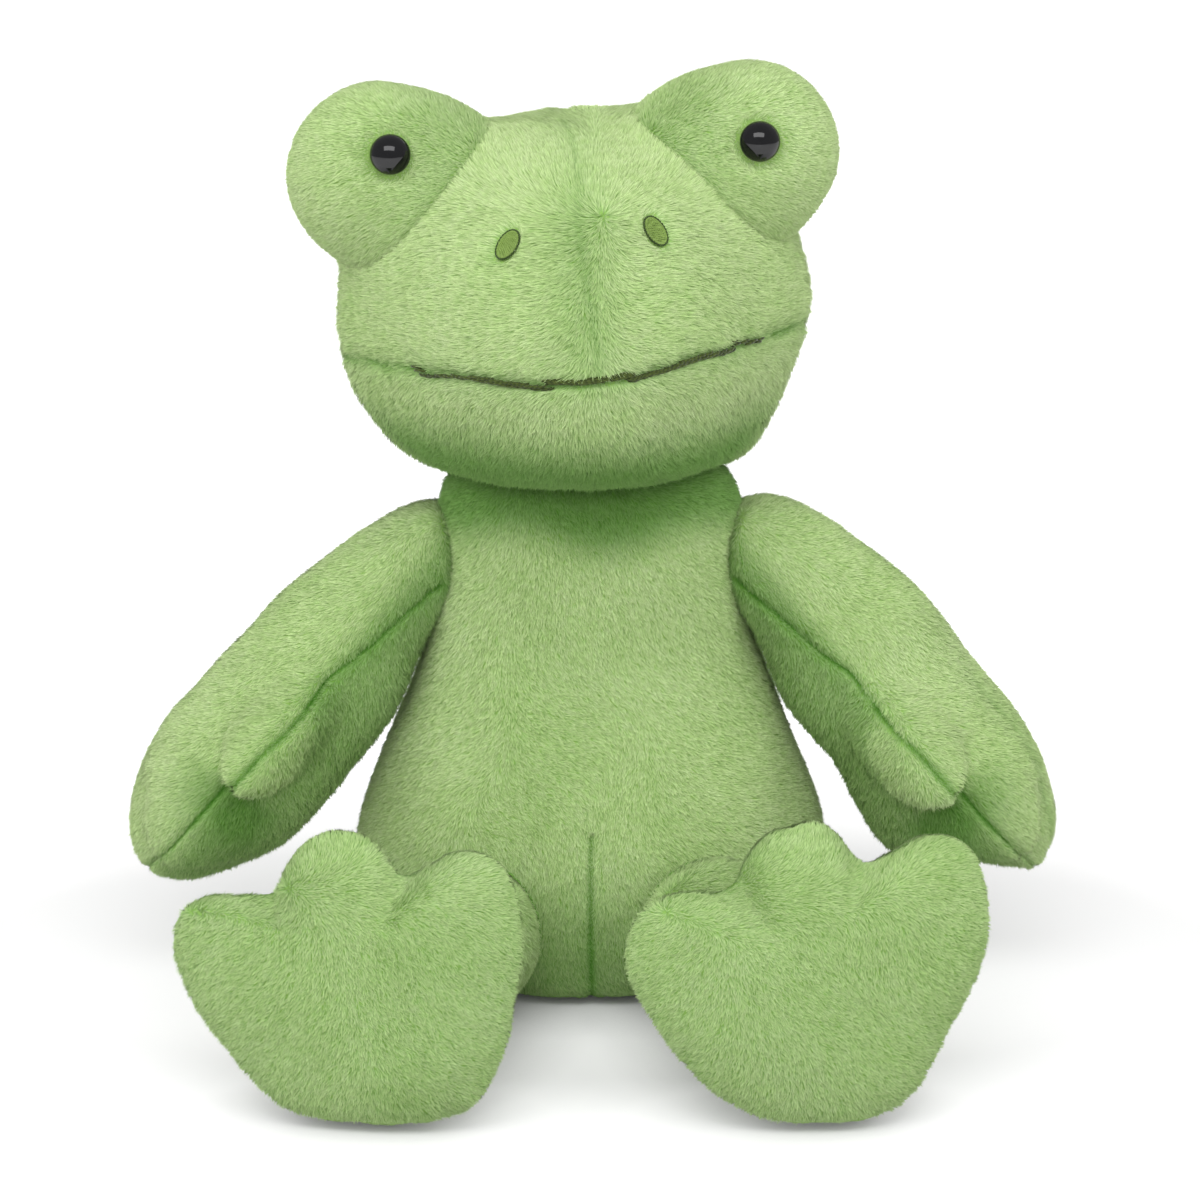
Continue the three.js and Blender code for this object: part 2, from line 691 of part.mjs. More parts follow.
// A foot's frame is the ankle's: -Y is the way the sole faces and +Z the middle toe's.
function makeFoot(side, leg, ankle) {
  const foot = new THREE.Group();
  foot.position.copy(ankle);
  foot.rotation.order = "ZXY";
  foot.rotation.set(
    -footTilt,
    -THREE.MathUtils.degToRad(side.footRoll),
    THREE.MathUtils.degToRad(side.footYaw - side.splay),
  );
  leg.updateMatrix();
  foot.updateMatrix();
  const toFloor = leg.matrix.clone().multiply(foot.matrix);

  // The foot is slid along its own height until its lowest point is a little under the floor.
  const rim = -instepCrown - ankleBehindFoot;
  const outer = footSkin(keysOf(footOutlineShares), footRingShares).translate(0, rim, 0);
  const lowest = outer.clone().applyMatrix4(toFloor);
  lowest.computeBoundingBox();
  const rise = (-floorSink - lowest.boundingBox.min.z) / toFloor.elements[10];
  const inner = footSkin(fewer(keysOf(footOutlineShares)), fewer(footRingShares)).translate(0, rim, rise);
  outer.translate(0, 0, rise);

  const stand = new THREE.Group();
  toFloor.decompose(stand.position, stand.quaternion, stand.scale);
  const away = ball(ankleRadius + seamGap).add(underFloor(stand));
  const reach = 2 * footReach;
  const half = (direction) =>
    solid(
      new THREE.BoxGeometry(2 * reach, reach, 2 * reach).translate(
        0,
        rim + (direction * (reach + pieceGap)) / 2,
        0,
      ),
    );
  const cover = solid(outer).subtract(solid(inset(inner, coverWall))).subtract(away);
  const stuffing = solid(inset(inner, coverWall + fillingGap)).subtract(away);
  foot.add(
    mesh(side.name + "_foot_upper", plush, cover.intersect(half(1))),
    mesh(side.name + "_foot_sole", plush, cover.intersect(half(-1))),
    mesh(side.name + "_foot_stuffing", filling, stuffing),
  );
  return foot;
}

const frog = new THREE.Group();
frog.add(makeTorso(), makeHead(), makeNeckStitch());
for (const side of sides) {
  frog.add(makeArm(side), makeLeg(side));
}

export default frog;
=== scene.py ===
# %% [markdown]
# # A plush frog
# A soft toy is a set of sewn covers packed with loose filling. What shows of it is the pile, short
# hairs that stand on the cloth and lean the way they were last stroked.
# The frame comes first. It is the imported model, one node for each solid, and every piece made
# below rides on one of its bodies.

# %% Load the frame
import json
import math

import bpy
import numpy as np
from mathutils import Matrix, Vector
from mathutils.bvhtree import BVHTree

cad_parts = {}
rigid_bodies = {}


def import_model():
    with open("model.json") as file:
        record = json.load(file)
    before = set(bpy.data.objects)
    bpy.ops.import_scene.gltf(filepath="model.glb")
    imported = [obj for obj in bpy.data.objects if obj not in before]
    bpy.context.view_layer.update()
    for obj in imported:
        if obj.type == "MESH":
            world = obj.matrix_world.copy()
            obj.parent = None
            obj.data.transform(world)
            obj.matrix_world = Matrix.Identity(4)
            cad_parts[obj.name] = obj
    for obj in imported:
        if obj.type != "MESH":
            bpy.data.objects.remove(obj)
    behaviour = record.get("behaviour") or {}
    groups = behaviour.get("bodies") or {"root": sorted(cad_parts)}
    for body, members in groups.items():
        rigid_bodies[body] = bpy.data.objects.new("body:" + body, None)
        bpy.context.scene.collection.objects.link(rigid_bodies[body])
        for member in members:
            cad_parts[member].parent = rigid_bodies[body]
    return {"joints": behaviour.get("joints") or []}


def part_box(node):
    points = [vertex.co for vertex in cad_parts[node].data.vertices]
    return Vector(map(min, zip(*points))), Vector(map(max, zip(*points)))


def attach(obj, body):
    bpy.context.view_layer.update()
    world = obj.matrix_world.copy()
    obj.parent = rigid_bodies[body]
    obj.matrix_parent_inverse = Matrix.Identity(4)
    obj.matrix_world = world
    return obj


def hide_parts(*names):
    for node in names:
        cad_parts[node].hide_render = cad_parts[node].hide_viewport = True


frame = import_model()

# Blender's own opening scene isn't wanted
for leftover in ("Cube", "Light", "Camera"):
    if leftover in bpy.data.objects:
        bpy.data.objects.remove(bpy.data.objects[leftover])
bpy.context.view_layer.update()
MM = 0.001

# %% [markdown]
# ## Camera
# The toy was seen from a little above, through a long lens from about a metre and a half. A long
# lens keeps the feet, which reach towards it, from looking too large.

# %% Camera
LENS, SENSOR = 135, 36
CAMERA_PLACE = (0, -1.449, 0.538)
LOOKING_DOWN, LOOKING_ASIDE = 15.89, -0.127
camera_data = bpy.data.cameras.new("camera")
camera_data.lens, camera_data.sensor_width = LENS, SENSOR
camera = bpy.data.objects.new("camera", camera_data)
camera.location = CAMERA_PLACE
camera.rotation_euler = (math.radians(90 - LOOKING_DOWN), 0, math.radians(LOOKING_ASIDE))
bpy.context.scene.collection.objects.link(camera)
bpy.context.scene.camera = camera
bpy.context.scene.view_settings.view_transform = "Standard"
print("camera at", tuple(camera.location))

# %% [markdown]
# ## Node helpers
# A node tree is a list of nodes and links. It could be built with one line for each node and each
# link, but then a short sum fills a page. These helpers make a node with its values, and link
# sockets by name, so that each tree below reads from its inputs to its output.

# %% Node helpers
def node(tree, kind, inputs=None, **settings):
    made = tree.nodes.new(kind)
    for key, value in settings.items():
        setattr(made, key, value)
    for key, value in (inputs or {}).items():
        if isinstance(value, bpy.types.NodeSocket):
            tree.links.new(value, made.inputs[key])
        else:
            made.inputs[key].default_value = value
    return made


def maths(tree, operation, *values):
    return node(tree, "ShaderNodeMath", dict(enumerate(values)), operation=operation).outputs[0]


def vector_maths(tree, operation, *values, scale=None):
    inputs = dict(enumerate(values))
    if scale is not None:
        inputs["Scale"] = scale
    return node(tree, "ShaderNodeVectorMath", inputs, operation=operation).outputs[0]


def mixed(tree, factor, a, b, blend="MIX"):
    made = node(tree, "ShaderNodeMix", data_type="RGBA", blend_type=blend)
    for index, value in ((0, factor), (6, a), (7, b)):
        if isinstance(value, bpy.types.NodeSocket):
            tree.links.new(value, made.inputs[index])
        else:
            made.inputs[index].default_value = value
    return made.outputs[2]


def colour(red, green, blue):
    """A colour written as it looks on a screen, from 0 to 255, as the linear value that a shader takes."""
    shares = np.array([red, green, blue]) / 255
    linear = np.where(shares <= 0.04045, shares / 12.92, ((shares + 0.055) / 1.055) ** 2.4)
    return (*linear.tolist(), 1.0)


def new_inputs(tree, rows):
    """Named inputs for a group, each with its default value."""
    for name, kind, value in rows:
        socket = tree.interface.new_socket(name, in_out="INPUT", socket_type="NodeSocket" + kind)
        if value is not None:
            socket.default_value = value
    return node(tree, "NodeGroupInput").outputs


print("a mid green is", [round(v, 3) for v in colour(150, 185, 105)])

# %% [markdown]
# ## Studio paper
# Plain studio paper fills the view, so the floor is one large pale sheet that runs up behind the
# frog in a wide curve, and no edge shows. A flat plane would end in a horizon. To the camera alone
# the paper glows, so that it looks white without more light on the frog. Near the frog it glows
# less, which keeps the lamps' shadow, and where the frog crowds the paper, ambient occlusion dims
# the glow further into a painted contact shadow.

# %% Paper
GLOW_NEAR, GLOW_STARTS, GLOW_FULL = 0.43, 0.15, 0.32


def paper_material():
    material = bpy.data.materials.new("studio_paper")
    material.use_nodes = True
    tree = material.node_tree
    shader = tree.nodes["Principled BSDF"]
    grain = node(tree, "ShaderNodeTexNoise", {"Scale": 900.0, "Detail": 3.0})
    tree.links.new(node(tree, "ShaderNodeTexCoord").outputs["Object"], grain.inputs["Vector"])
    tint = mixed(tree, grain.outputs["Fac"], (0.6, 0.6, 0.6, 1), (0.64, 0.64, 0.64, 1))
    tree.links.new(tint, shader.inputs["Base Color"])
    shader.inputs["Roughness"].default_value = 0.9
    shader.inputs["Specular IOR Level"].default_value = 0.1
    path = node(tree, "ShaderNodeLightPath")
    seen = maths(tree, "MAXIMUM", path.outputs["Is Camera Ray"], path.outputs["Is Glossy Ray"])
    seen = maths(tree, "MAXIMUM", seen, path.outputs["Is Transmission Ray"])
    shader.inputs["Emission Color"].default_value = (1, 1, 1, 1)
    # the glow grows with the distance from the frog, faster to the front than to the sides
    place = vector_maths(tree, "MULTIPLY", node(tree, "ShaderNodeTexCoord").outputs["Object"], (0.7, 1.3, 1.0))
    far = node(tree, "ShaderNodeVectorMath", {0: place}, operation="LENGTH").outputs["Value"]
    glow = node(tree, "ShaderNodeMapRange",
                {"Value": far, "From Min": GLOW_STARTS, "From Max": GLOW_FULL, "To Min": GLOW_NEAR, "To Max": 1.0})
    # painted contact shadow: ambient occlusion dims the glow right under and close to the frog
    painted_contact_shadow = node(tree, "ShaderNodeAmbientOcclusion", {"Distance": 0.03}, samples=6).outputs["AO"]
    lit = maths(tree, "MULTIPLY", glow.outputs["Result"], painted_contact_shadow)
    tree.links.new(maths(tree, "MULTIPLY", seen, lit), shader.inputs["Emission Strength"])
    return material


def paper_sheet():
    # the paper lies flat, turns up in a wide curve behind the frog and ends as a wall
    radius, reach, height = 0.8, 2.6, 3.0
    bend = [(reach + radius * math.sin(a), radius * (1 - math.cos(a))) for a in np.linspace(0, math.pi / 2, 24)]
    profile = [(-3.0, 0.0), *bend, (reach + radius, height)]
    vertices, faces = [], []
    for y, z in profile:
        vertices += [(-3.5, y, z), (3.5, y, z)]
    for i in range(len(profile) - 1):
        faces.append((2 * i, 2 * i + 1, 2 * i + 3, 2 * i + 2))
    mesh = bpy.data.meshes.new("studio_paper")
    mesh.from_pydata(vertices, [], faces)
    mesh.materials.append(paper_material())
    sheet = bpy.data.objects.new("studio_paper", mesh)
    for polygon in mesh.polygons:
        polygon.use_smooth = True
    bpy.context.scene.collection.objects.link(sheet)
    return sheet


print("paper:", len(paper_sheet().data.polygons), "faces")

# %% [markdown]
# ## Lamps
# A toy is photographed under wide soft boxes, whose light has no hard edges. One stands above and
# in front, and the eyes mirror it as a small bright window. Weaker ones at the front, the sides and
# the back stand for the light that white walls send back. The world could do all of it alone, but
# then the forms would look flat, so it adds only a little.

# %% Lamps and world
def soft_box(name, place, target, width, height, watts, mirrored=False):
    data = bpy.data.lights.new(name, "AREA")
    data.shape = "RECTANGLE"
    data.size, data.size_y, data.energy = width, height, watts
    lamp = bpy.data.objects.new(name, data)
    lamp.location = place
    lamp.rotation_euler = (Vector(target) - Vector(place)).to_track_quat("-Z", "Y").to_euler()
    bpy.context.scene.collection.objects.link(lamp)
    # the fill lamps stand for bounced light, which the eyes don't mirror as a window
    lamp.visible_glossy = mirrored
    return lamp


def studio_world():
    world = bpy.data.worlds.new("studio")
    bpy.context.scene.world = world
    world.use_nodes = True
    tree = world.node_tree
    path = node(tree, "ShaderNodeLightPath")
    seen = maths(tree, "MAXIMUM", path.outputs["Is Camera Ray"], path.outputs["Is Transmission Ray"])
    background = tree.nodes["Background"]
    background.inputs["Color"].default_value = (1, 1, 1, 1)
    strength = node(tree, "ShaderNodeMapRange", {"Value": seen, "To Min": 0.4, "To Max": 1.0})
    tree.links.new(strength.outputs["Result"], background.inputs["Strength"])


studio_world()
soft_box("soft_box_above", (-0.05, -1.05, 1.4), (0, -0.05, 0.16), 1.5, 0.65, 12.5, mirrored=True)
soft_box("fill_front", (0.0, -1.9, 0.75), (0, 0, 0.12), 1.2, 0.8, 11)
soft_box("fill_left", (-1.5, -0.7, 1.0), (0, 0, 0.16), 0.9, 1.1, 9)
soft_box("fill_right", (1.5, -0.7, 1.0), (0, 0, 0.16), 0.9, 1.1, 8)
soft_box("fill_back", (0.0, 1.7, 0.9), (0, 0, 0.12), 1.4, 0.9, 5)

# %% [markdown]
# ## Smooth forms from rows of numbers
# A stuffed form can be drawn as rows, each with a height and the half widths there. Spheres and
# boxes would have to be pushed about to get the same shape, and sculpting it by hand could not be
# repeated. Here a smooth curve runs through the rows, and rings of points stand on that curve.

# %% Smooth rows
def smooth_rows(rows, count, pole_start=True, pole_end=True):
    """Rows spread evenly along a smooth curve through the given ones; lengths are measured in the first two columns."""
    rows = np.array(rows, float)
    over = np.array([1] + [-1] * (rows.shape[1] - 1))
    before = rows[1] * over if pole_start else 2 * rows[0] - rows[1]
    after = rows[-2] * over if pole_end else 2 * rows[-1] - rows[-2]
    points = np.vstack([before, rows, after])
    steps = np.linalg.norm(np.diff(points[:, :2], axis=0), axis=1) + 1e-6
    at = np.concatenate([[0], np.cumsum(steps)])
    slopes = np.diff(points, axis=0) / steps[:, None]
    bends = (slopes[1:] * steps[:-1, None] + slopes[:-1] * steps[1:, None]) / (steps[1:] + steps[:-1])[:, None]
    at, steps = at[1:-1], steps[1:-1]
    wanted = np.linspace(at[0], at[-1], count)
    i = np.clip(np.searchsorted(at, wanted, side="right") - 1, 0, len(steps) - 1)
    t = ((wanted - at[i]) / steps[i])[:, None]
    h = steps[i][:, None]
    return (
        (2 * t**3 - 3 * t**2 + 1) * rows[i]
        + (t**3 - 2 * t**2 + t) * h * bends[i]
        + (3 * t**2 - 2 * t**3) * rows[i + 1]
        + (t**3 - t**2) * h * bends[i + 1]
    )


def softly(value, low, high):
    """A smooth rise from 0 at low to 1 at high."""
    share = np.clip((value - low) / (high - low), 0, 1)
    return share * share * (3 - 2 * share)


print("rows test:", smooth_rows([(0, 0), (1, 1), (2, 0)], 5).round(2).tolist())

# %% [markdown]
# ## Turning and placing
# Every limb is drawn in a frame of its own, where it is straight, and is then turned and moved to
# where it is sewn on. Setting the object's own rotation would do it too, but a finished piece has
# its place in its mesh, so the points themselves are moved. Left and right differ by a mirror.

# %% Turned and moved points
def turned(x=0.0, y=0.0, z=0.0, order="XYZ"):
    """A rotation, in degrees about each axis, whose first-named axis turns last."""
    made = Matrix.Identity(3)
    for axis in order:
        made = made @ Matrix.Rotation(math.radians({"X": x, "Y": y, "Z": z}[axis]), 3, axis)
    return np.array(made)


def moved(points, rotation=None, place=(0, 0, 0), mirror=1):
    points = points @ (np.eye(3) if rotation is None else rotation).T + np.array(place)
    return points * np.array([mirror, 1, 1])


print("x turned about z:", (turned(z=90) @ [1, 0, 0]).round(2))

# %% [markdown]
# ## Skins from rings
# A cover is one closed skin. Its rings of points are joined by four-sided faces and closed by a
# fan at each pole. A sphere from Blender's menu has the same layout, but here the skin also gets a
# map, which goes round and along the piece, and the points can be read and written as rows.

# %% Ring skins
def new_object(name, vertices, faces):
    mesh = bpy.data.meshes.new(name)
    mesh.from_pydata(np.asarray(vertices).tolist(), [], faces)
    mesh.polygons.foreach_set("use_smooth", [True] * len(mesh.polygons))
    made = bpy.data.objects.new(name, mesh)
    bpy.context.scene.collection.objects.link(made)
    return made


def ring_skin(name, grid, flip=False):
    """A closed skin from rows of points in millimetres. The first and last rows are poles."""
    rows, columns = grid.shape[:2]
    rings = grid[1:-1].reshape(-1, 3)
    vertices = np.vstack([grid[:1, 0], rings, grid[-1:, 0]]) * MM
    last = len(vertices) - 1
    at = lambda r, c: 1 + (r - 1) * columns + c % columns
    faces, places = [], []
    for c in range(columns):
        left, right = c / columns, (c + 1) / columns
        low, high = 1 / (rows - 1), (rows - 2) / (rows - 1)
        faces.append((0, at(1, c + 1), at(1, c)))
        places.append([((left + right) / 2, 0), (right, low), (left, low)])
        faces.append((last, at(rows - 2, c), at(rows - 2, c + 1)))
        places.append([((left + right) / 2, 1), (left, high), (right, high)])
        for r in range(1, rows - 2):
            faces.append((at(r, c), at(r, c + 1), at(r + 1, c + 1), at(r + 1, c)))
            bottom, top = r / (rows - 1), (r + 1) / (rows - 1)
            places.append([(left, bottom), (right, bottom), (right, top), (left, top)])
    if flip:
        faces = [face[::-1] for face in faces]
        places = [place[::-1] for place in places]
    made = new_object(name, vertices, faces)
    layer = made.data.uv_layers.new(name="OFBake")
    layer.uv.foreach_set("vector", np.array([uv for face in places for uv in face], np.float32).ravel())
    return made


def points_of(made):
    found = np.empty(len(made.data.vertices) * 3, np.float32)
    made.data.vertices.foreach_get("co", found)
    return found.reshape(-1, 3).astype(float)


def normals_of(made):
    found = np.empty(len(made.data.vertices) * 3, np.float32)
    made.data.vertex_normals.foreach_get("vector", found)
    return found.reshape(-1, 3).astype(float)


def put_points(made, points):
    made.data.vertices.foreach_set("co", points.astype(np.float32).ravel())
    made.data.update()


def put_layers(mesh, rows):
    """Stores named values on the points of a mesh."""
    for label, kind, values in rows:
        layer = mesh.attributes.new(label, kind, "POINT")
        layer.data.foreach_set("vector" if kind == "FLOAT_VECTOR" else "value", np.asarray(values, np.float32).ravel())


def tree_over(points, polygons):
    """A search tree over a mesh, for finding its nearest point or where a ray meets it."""
    return BVHTree.FromPolygons(points, [p.vertices[:] for p in polygons])


print("helpers: ring_skin, points_of, normals_of, put_points, put_layers, tree_over")

# %% [markdown]
# ## Where the pieces stand
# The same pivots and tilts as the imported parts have, in millimetres and degrees. The frame knows
# each joint's place, so the shoulders and hips are read from it and not typed in twice. The pile
# stands on the cloth, so each form below is drawn to the outside of the pile and the cloth is then
# set back by the pile's height.

# %% Pivots and tilts
PILE_HEIGHT = 2.0
neck_pivot = np.array([0.0, -8.0, 160.0])
head_turn = turned(y=-3, z=3, order="YZ")
sides = {
    "left": dict(mirror=1, splay=22.5, yaw=6, roll=7.5, eye_turn=5, eye_raise=14),
    "right": dict(mirror=-1, splay=24.5, yaw=6, roll=-10.5, eye_turn=-8, eye_raise=20),
}
joint_places = {joint["name"]: np.array(joint["pos_m"]) / MM for joint in frame["joints"]}
shoulder_pivot = {side: joint_places[f"{side}_arm_swing"] for side in sides}
hip_pivot = {side: joint_places[f"{side}_leg_turn"] for side in sides}
print("shoulders:", shoulder_pivot, "hips:", hip_pivot)

# %% [markdown]
# ## Torso form
# The body is a pear sewn from four panels, which sits on a flat seat and narrows to the neck. A
# pear could be modelled by pulling at a sphere, but rows of height, half width and half depth give
# the same pear each time, and one row can be corrected without touching the others. The widths are
# shares of the widest place, a fifth of the way up. Towards the neck it leans a little forwards.

# %% Torso form
TORSO_HALF_WIDTH, TORSO_HALF_DEPTH = 81, 59
CHEST_LEAN, LEAN_STARTS, LEAN_OVER = 8, 110, 60
torso_rows = [
    (-1, 0, 0), (-1, 0.56, 0.56), (-0.2, 0.82, 0.83), (4.6, 0.9, 0.92), (14, 0.955, 0.965), (26, 0.985, 0.99),
    (39, 1, 1), (52, 0.98, 0.98), (66.5, 0.92, 0.93), (81.5, 0.845, 0.86), (98, 0.765, 0.78), (114, 0.7, 0.725),
    (130, 0.665, 0.69), (144, 0.645, 0.66), (154, 0.645, 0.63), (162, 0.64, 0.6), (168, 0.62, 0.56),
    (174, 0.57, 0.49), (180, 0.43, 0.37), (186, 0.2, 0.18), (188, 0, 0),
]


def torso_grid(columns, count):
    rows = smooth_rows([(z, TORSO_HALF_WIDTH * w, TORSO_HALF_DEPTH * d) for z, w, d in torso_rows], count)
    angles = np.linspace(0, 2 * np.pi, columns, endpoint=False)
    grid = np.empty((count, columns, 3))
    grid[..., 0] = rows[:, 1:2] * np.cos(angles)
    grid[..., 1] = rows[:, 2:3] * np.sin(angles)
    grid[..., 2] = rows[:, :1]
    grid[..., 1] -= CHEST_LEAN * softly(grid[..., 2], LEAN_STARTS, LEAN_STARTS + LEAN_OVER)
    return grid


print("torso rows:", len(torso_rows))

# %% [markdown]
# ## Head form
# The head is wide and low, with a snout that reaches forward above a small chin. Front and back
# are different curves, so each row holds a half width, a reach in front and a reach behind. A box
# sculpted with a brush would give softer cheeks, but no two brush strokes are the same, and the
# mouth, the nostrils and the seams have to be found again on the form by their share of its size.

# %% Head rows
head_rows = [
    (0, 0, 0, 0), (0.008, 0.46, 0.34, 0.42), (0.04, 0.66, 0.56, 0.62), (0.1, 0.79, 0.74, 0.76),
    (0.18, 0.88, 0.87, 0.87), (0.28, 0.95, 0.955, 0.95), (0.39, 0.985, 1, 1), (0.5, 0.99, 0.995, 1),
    (0.6, 0.97, 0.95, 0.96), (0.7, 0.92, 0.87, 0.88), (0.79, 0.84, 0.76, 0.77), (0.865, 0.73, 0.62, 0.63),
    (0.925, 0.58, 0.45, 0.46), (0.962, 0.4, 0.28, 0.28), (0.98, 0, 0, 0),
]
HEAD_LIFT, HEAD_HEIGHT, HEAD_HALF, SNOUT, HEAD_BACK = 11.0, 125.0, 79.5, 84.0, 62.0
MOUTH_SHARE, MIDDLE_SHARE = 0.392, 0.03
mouth_heights = [
    (-1, 0.366), (-0.8, 0.388), (-0.55, 0.408), (-0.3, 0.405), (0, 0.398), (0.25, 0.404), (0.5, 0.405), (0.75, 0.391),
    (1, 0.372),
]
# how much wider or narrower each cheek is than the pattern, by height: hand stuffing is never even
cheek_shares = [
    (0, 1.02, 0.97), (0.06, 1.02, 0.94), (0.13, 1.025, 0.92), (0.25, 1.025, 0.945), (0.45, 1.02, 0.985),
    (0.57, 1.01, 0.975), (0.67, 1.03, 0.945), (0.75, 1.025, 0.945), (0.86, 1.0, 1.0), (1, 1.0, 1.0),
]
CHIN_LEVEL, CHIN_ROUND = 172.5, 2.5
JAW_SETTLED, SNOUT_TILT = 5.0, 2.6
print("head rows:", len(head_rows))

# %% [markdown]
# ## From rows to a leaning head
# The snout is narrow at its tip and runs into the cheeks, so its reach falls faster than the
# cosine that would make an ellipse. Then the head is turned on the neck, and two things that
# happen to a real head are added: the jaw settles level, and the chin is pressed flat on the
# torso. Bones or a lattice could bend it as well, but here one formula for each is enough.

# %% Head form
def head_points(rows, angles):
    """Points of the head for rows of height, half width, reach in front and reach behind, all in millimetres."""
    sine, cosine = np.sin(angles), np.cos(angles)
    heights, right_cheek, left_cheek = np.array(cheek_shares).T
    high = rows[..., 0] / HEAD_HEIGHT
    cheek = np.where(cosine < 0, np.interp(high, heights, right_cheek), np.interp(high, heights, left_cheek))
    cosine = cosine * cheek
    ahead = np.maximum(-sine, 0)
    snout = 0.32 * ahead + 0.68 * ahead**2.5
    x = rows[..., 1] * cosine
    y = np.where(sine < 0, -rows[..., 2] * snout, rows[..., 3] * sine)
    middle = HEAD_LIFT + HEAD_HEIGHT * MOUTH_SHARE
    z = HEAD_LIFT + rows[..., 0] - middle
    turn = math.radians(SNOUT_TILT) * softly(-y, 0, SNOUT)
    local = np.stack([x * np.cos(turn) - z * np.sin(turn), y, middle + x * np.sin(turn) + z * np.cos(turn)], -1)
    placed = moved(local, head_turn, neck_pivot)
    # the head leans to one side, and the jaw has settled until it is level again
    low_share = 1 - softly(high, 0.02, 0.3)
    placed[..., 2] -= JAW_SETTLED * low_share * softly(placed[..., 0], 5, 50)
    # the chin is pressed flat where it rests on the torso
    over = (placed[..., 2] - CHIN_LEVEL) / CHIN_ROUND
    placed[..., 2] = CHIN_LEVEL + CHIN_ROUND * np.where(over > 20, over, np.log1p(np.exp(np.minimum(over, 20))))
    return placed


PROFILE_COUNT = 400
head_profile = smooth_rows(
    [(HEAD_HEIGHT * h, HEAD_HALF * w, SNOUT * f, HEAD_BACK * b) for h, w, f, b in head_rows], PROFILE_COUNT
)


def profile_rows(count):
    return head_profile[np.linspace(0, PROFILE_COUNT - 1, count).round().astype(int)]


def head_grid(columns, count):
    rows = profile_rows(count)
    angles = np.linspace(0, 2 * np.pi, columns, endpoint=False)
    return head_points(rows[:, None, :], np.broadcast_to(angles, (count, columns)))


print("head:", np.ptp(head_grid(60, 40).reshape(-1, 3), axis=0).round(1), "mm")

# %% [markdown]
# ## Finding places on the face
# A seamstress marks the mouth and the nostrils on the flat pattern, and they end up where the
# pattern does. In the same way, a place on the face is given by its share of the head's height and
# of its half width. Placing them by hand in space would leave them behind if the head changed.

# %% Places on the face
def face_point(height_share, side_share):
    """A point of the face by its height and by how far to the side it is, as shares of the head's own."""
    heights = head_profile[:, 0] / HEAD_HEIGHT
    row = np.array([np.interp(height_share, heights, head_profile[:, k]) for k in range(4)])
    return head_points(row, np.array(-math.acos(np.clip(side_share * HEAD_HALF / row[1], -1, 1))))


def mouth_height(side_share):
    """The mouth seam's height on the face, as a share of the head's height, by how far to the side it is."""
    rows = smooth_rows(mouth_heights, 200, False, False)
    return float(np.interp(side_share, rows[:, 0], rows[:, 1]))


print("tip of the snout:", face_point(0.45, 0).round(1), "mouth at", round(mouth_height(0), 3))

# %% [markdown]
# ## Mound form
# Two round mounds carry the eyes high at the sides of the head, each sewn from two panels. A
# sphere would meet the head at a sharp angle, so each mound is drawn out towards the head's
# middle. Its rings run from the pole inside the head to the one furthest out, so that no pole,
# where faces crowd together, shows in front.

# %% Mound form
MOUND_HALF = np.array([31.0, 26.0, 31.0])
MOUND_APART, MOUND_HIGH, DRAWN_OUT = 0.745, 0.85, 0.36


def mound_frame(side):
    mirror = sides[side]["mirror"]
    centre = np.array([-3 + mirror * MOUND_APART * HEAD_HALF, -10, HEAD_LIFT + MOUND_HIGH * HEAD_HEIGHT])
    return mirror, MOUND_HALF, centre


def mound_grid(side, columns, count):
    mirror, half, centre = mound_frame(side)
    inwards = np.array([-mirror * 0.86, 0.12, -0.26])
    inwards /= np.linalg.norm(inwards)
    across = np.cross(inwards, [0, 1, 0])
    across /= np.linalg.norm(across)
    third = np.cross(across, inwards)
    polar = np.linspace(0, np.pi, count)[:, None]
    angles = np.linspace(0, 2 * np.pi, columns, endpoint=False)
    directions = (
        np.cos(polar)[..., None] * inwards
        + (np.sin(polar) * np.cos(angles))[..., None] * across
        + (np.sin(polar) * np.sin(angles))[..., None] * third
    )
    towards = np.maximum(directions @ inwards, 0)
    grid = centre + directions * half * (1 + DRAWN_OUT * towards**1.5)[..., None]
    return moved(grid, head_turn, neck_pivot)


def eye_frame(side):
    """The eye's place on its mound and the way it looks."""
    mirror, half, centre = mound_frame(side)
    at = sides[side]
    look = turned(z=mirror * at["eye_turn"]) @ turned(x=-at["eye_raise"]) @ np.array([0, -1.0, 0])
    normal = look / half
    return moved(centre + look * half, head_turn, neck_pivot), head_turn @ (normal / np.linalg.norm(normal))


print("left eye:", [v.round(2) for v in eye_frame("left")])

# %% [markdown]
# ## Where two forms meet
# Two stuffed covers that are sewn to each other push each other out, so they meet in a shallow
# fold. Two forms that only pass through each other meet in a sharp crease. A boolean and a bevel
# would round it, but they make one piece out of two. So each skin is pushed out a little near the
# other form, and both stay separate.

# %% Fold
FOLD_HIGH, FOLD_WIDE = 2.2, 4.5


def filleted(points, normals, other, high=FOLD_HIGH, wide=FOLD_WIDE):
    """Points pushed outwards near another closed form, so that two forms meet in a shallow fold and not a deep one."""
    moves = np.zeros(len(points))
    for i, point in enumerate(points):
        place, normal, _, gap = other.find_nearest(Vector(point.tolist()), 3 * wide)
        if place is not None:
            past = ((Vector(point.tolist()) - place).dot(normal) - 1) / wide
            moves[i] = high * math.exp(-(past**2) if past < 0 else -past)
    return points + normals * moves[:, None]


print("a fold pushes a skin out by", FOLD_HIGH, "mm at most")

# %% [markdown]
# ## Arm form
# Each arm hangs from the shoulder and ends in a mitten with three fingers and a thumb. It is drawn
# straight down from the shoulder, with its own width to the front, the back, the outside and the
# inside at each height. The two arms differ a little, because each was filled by hand.

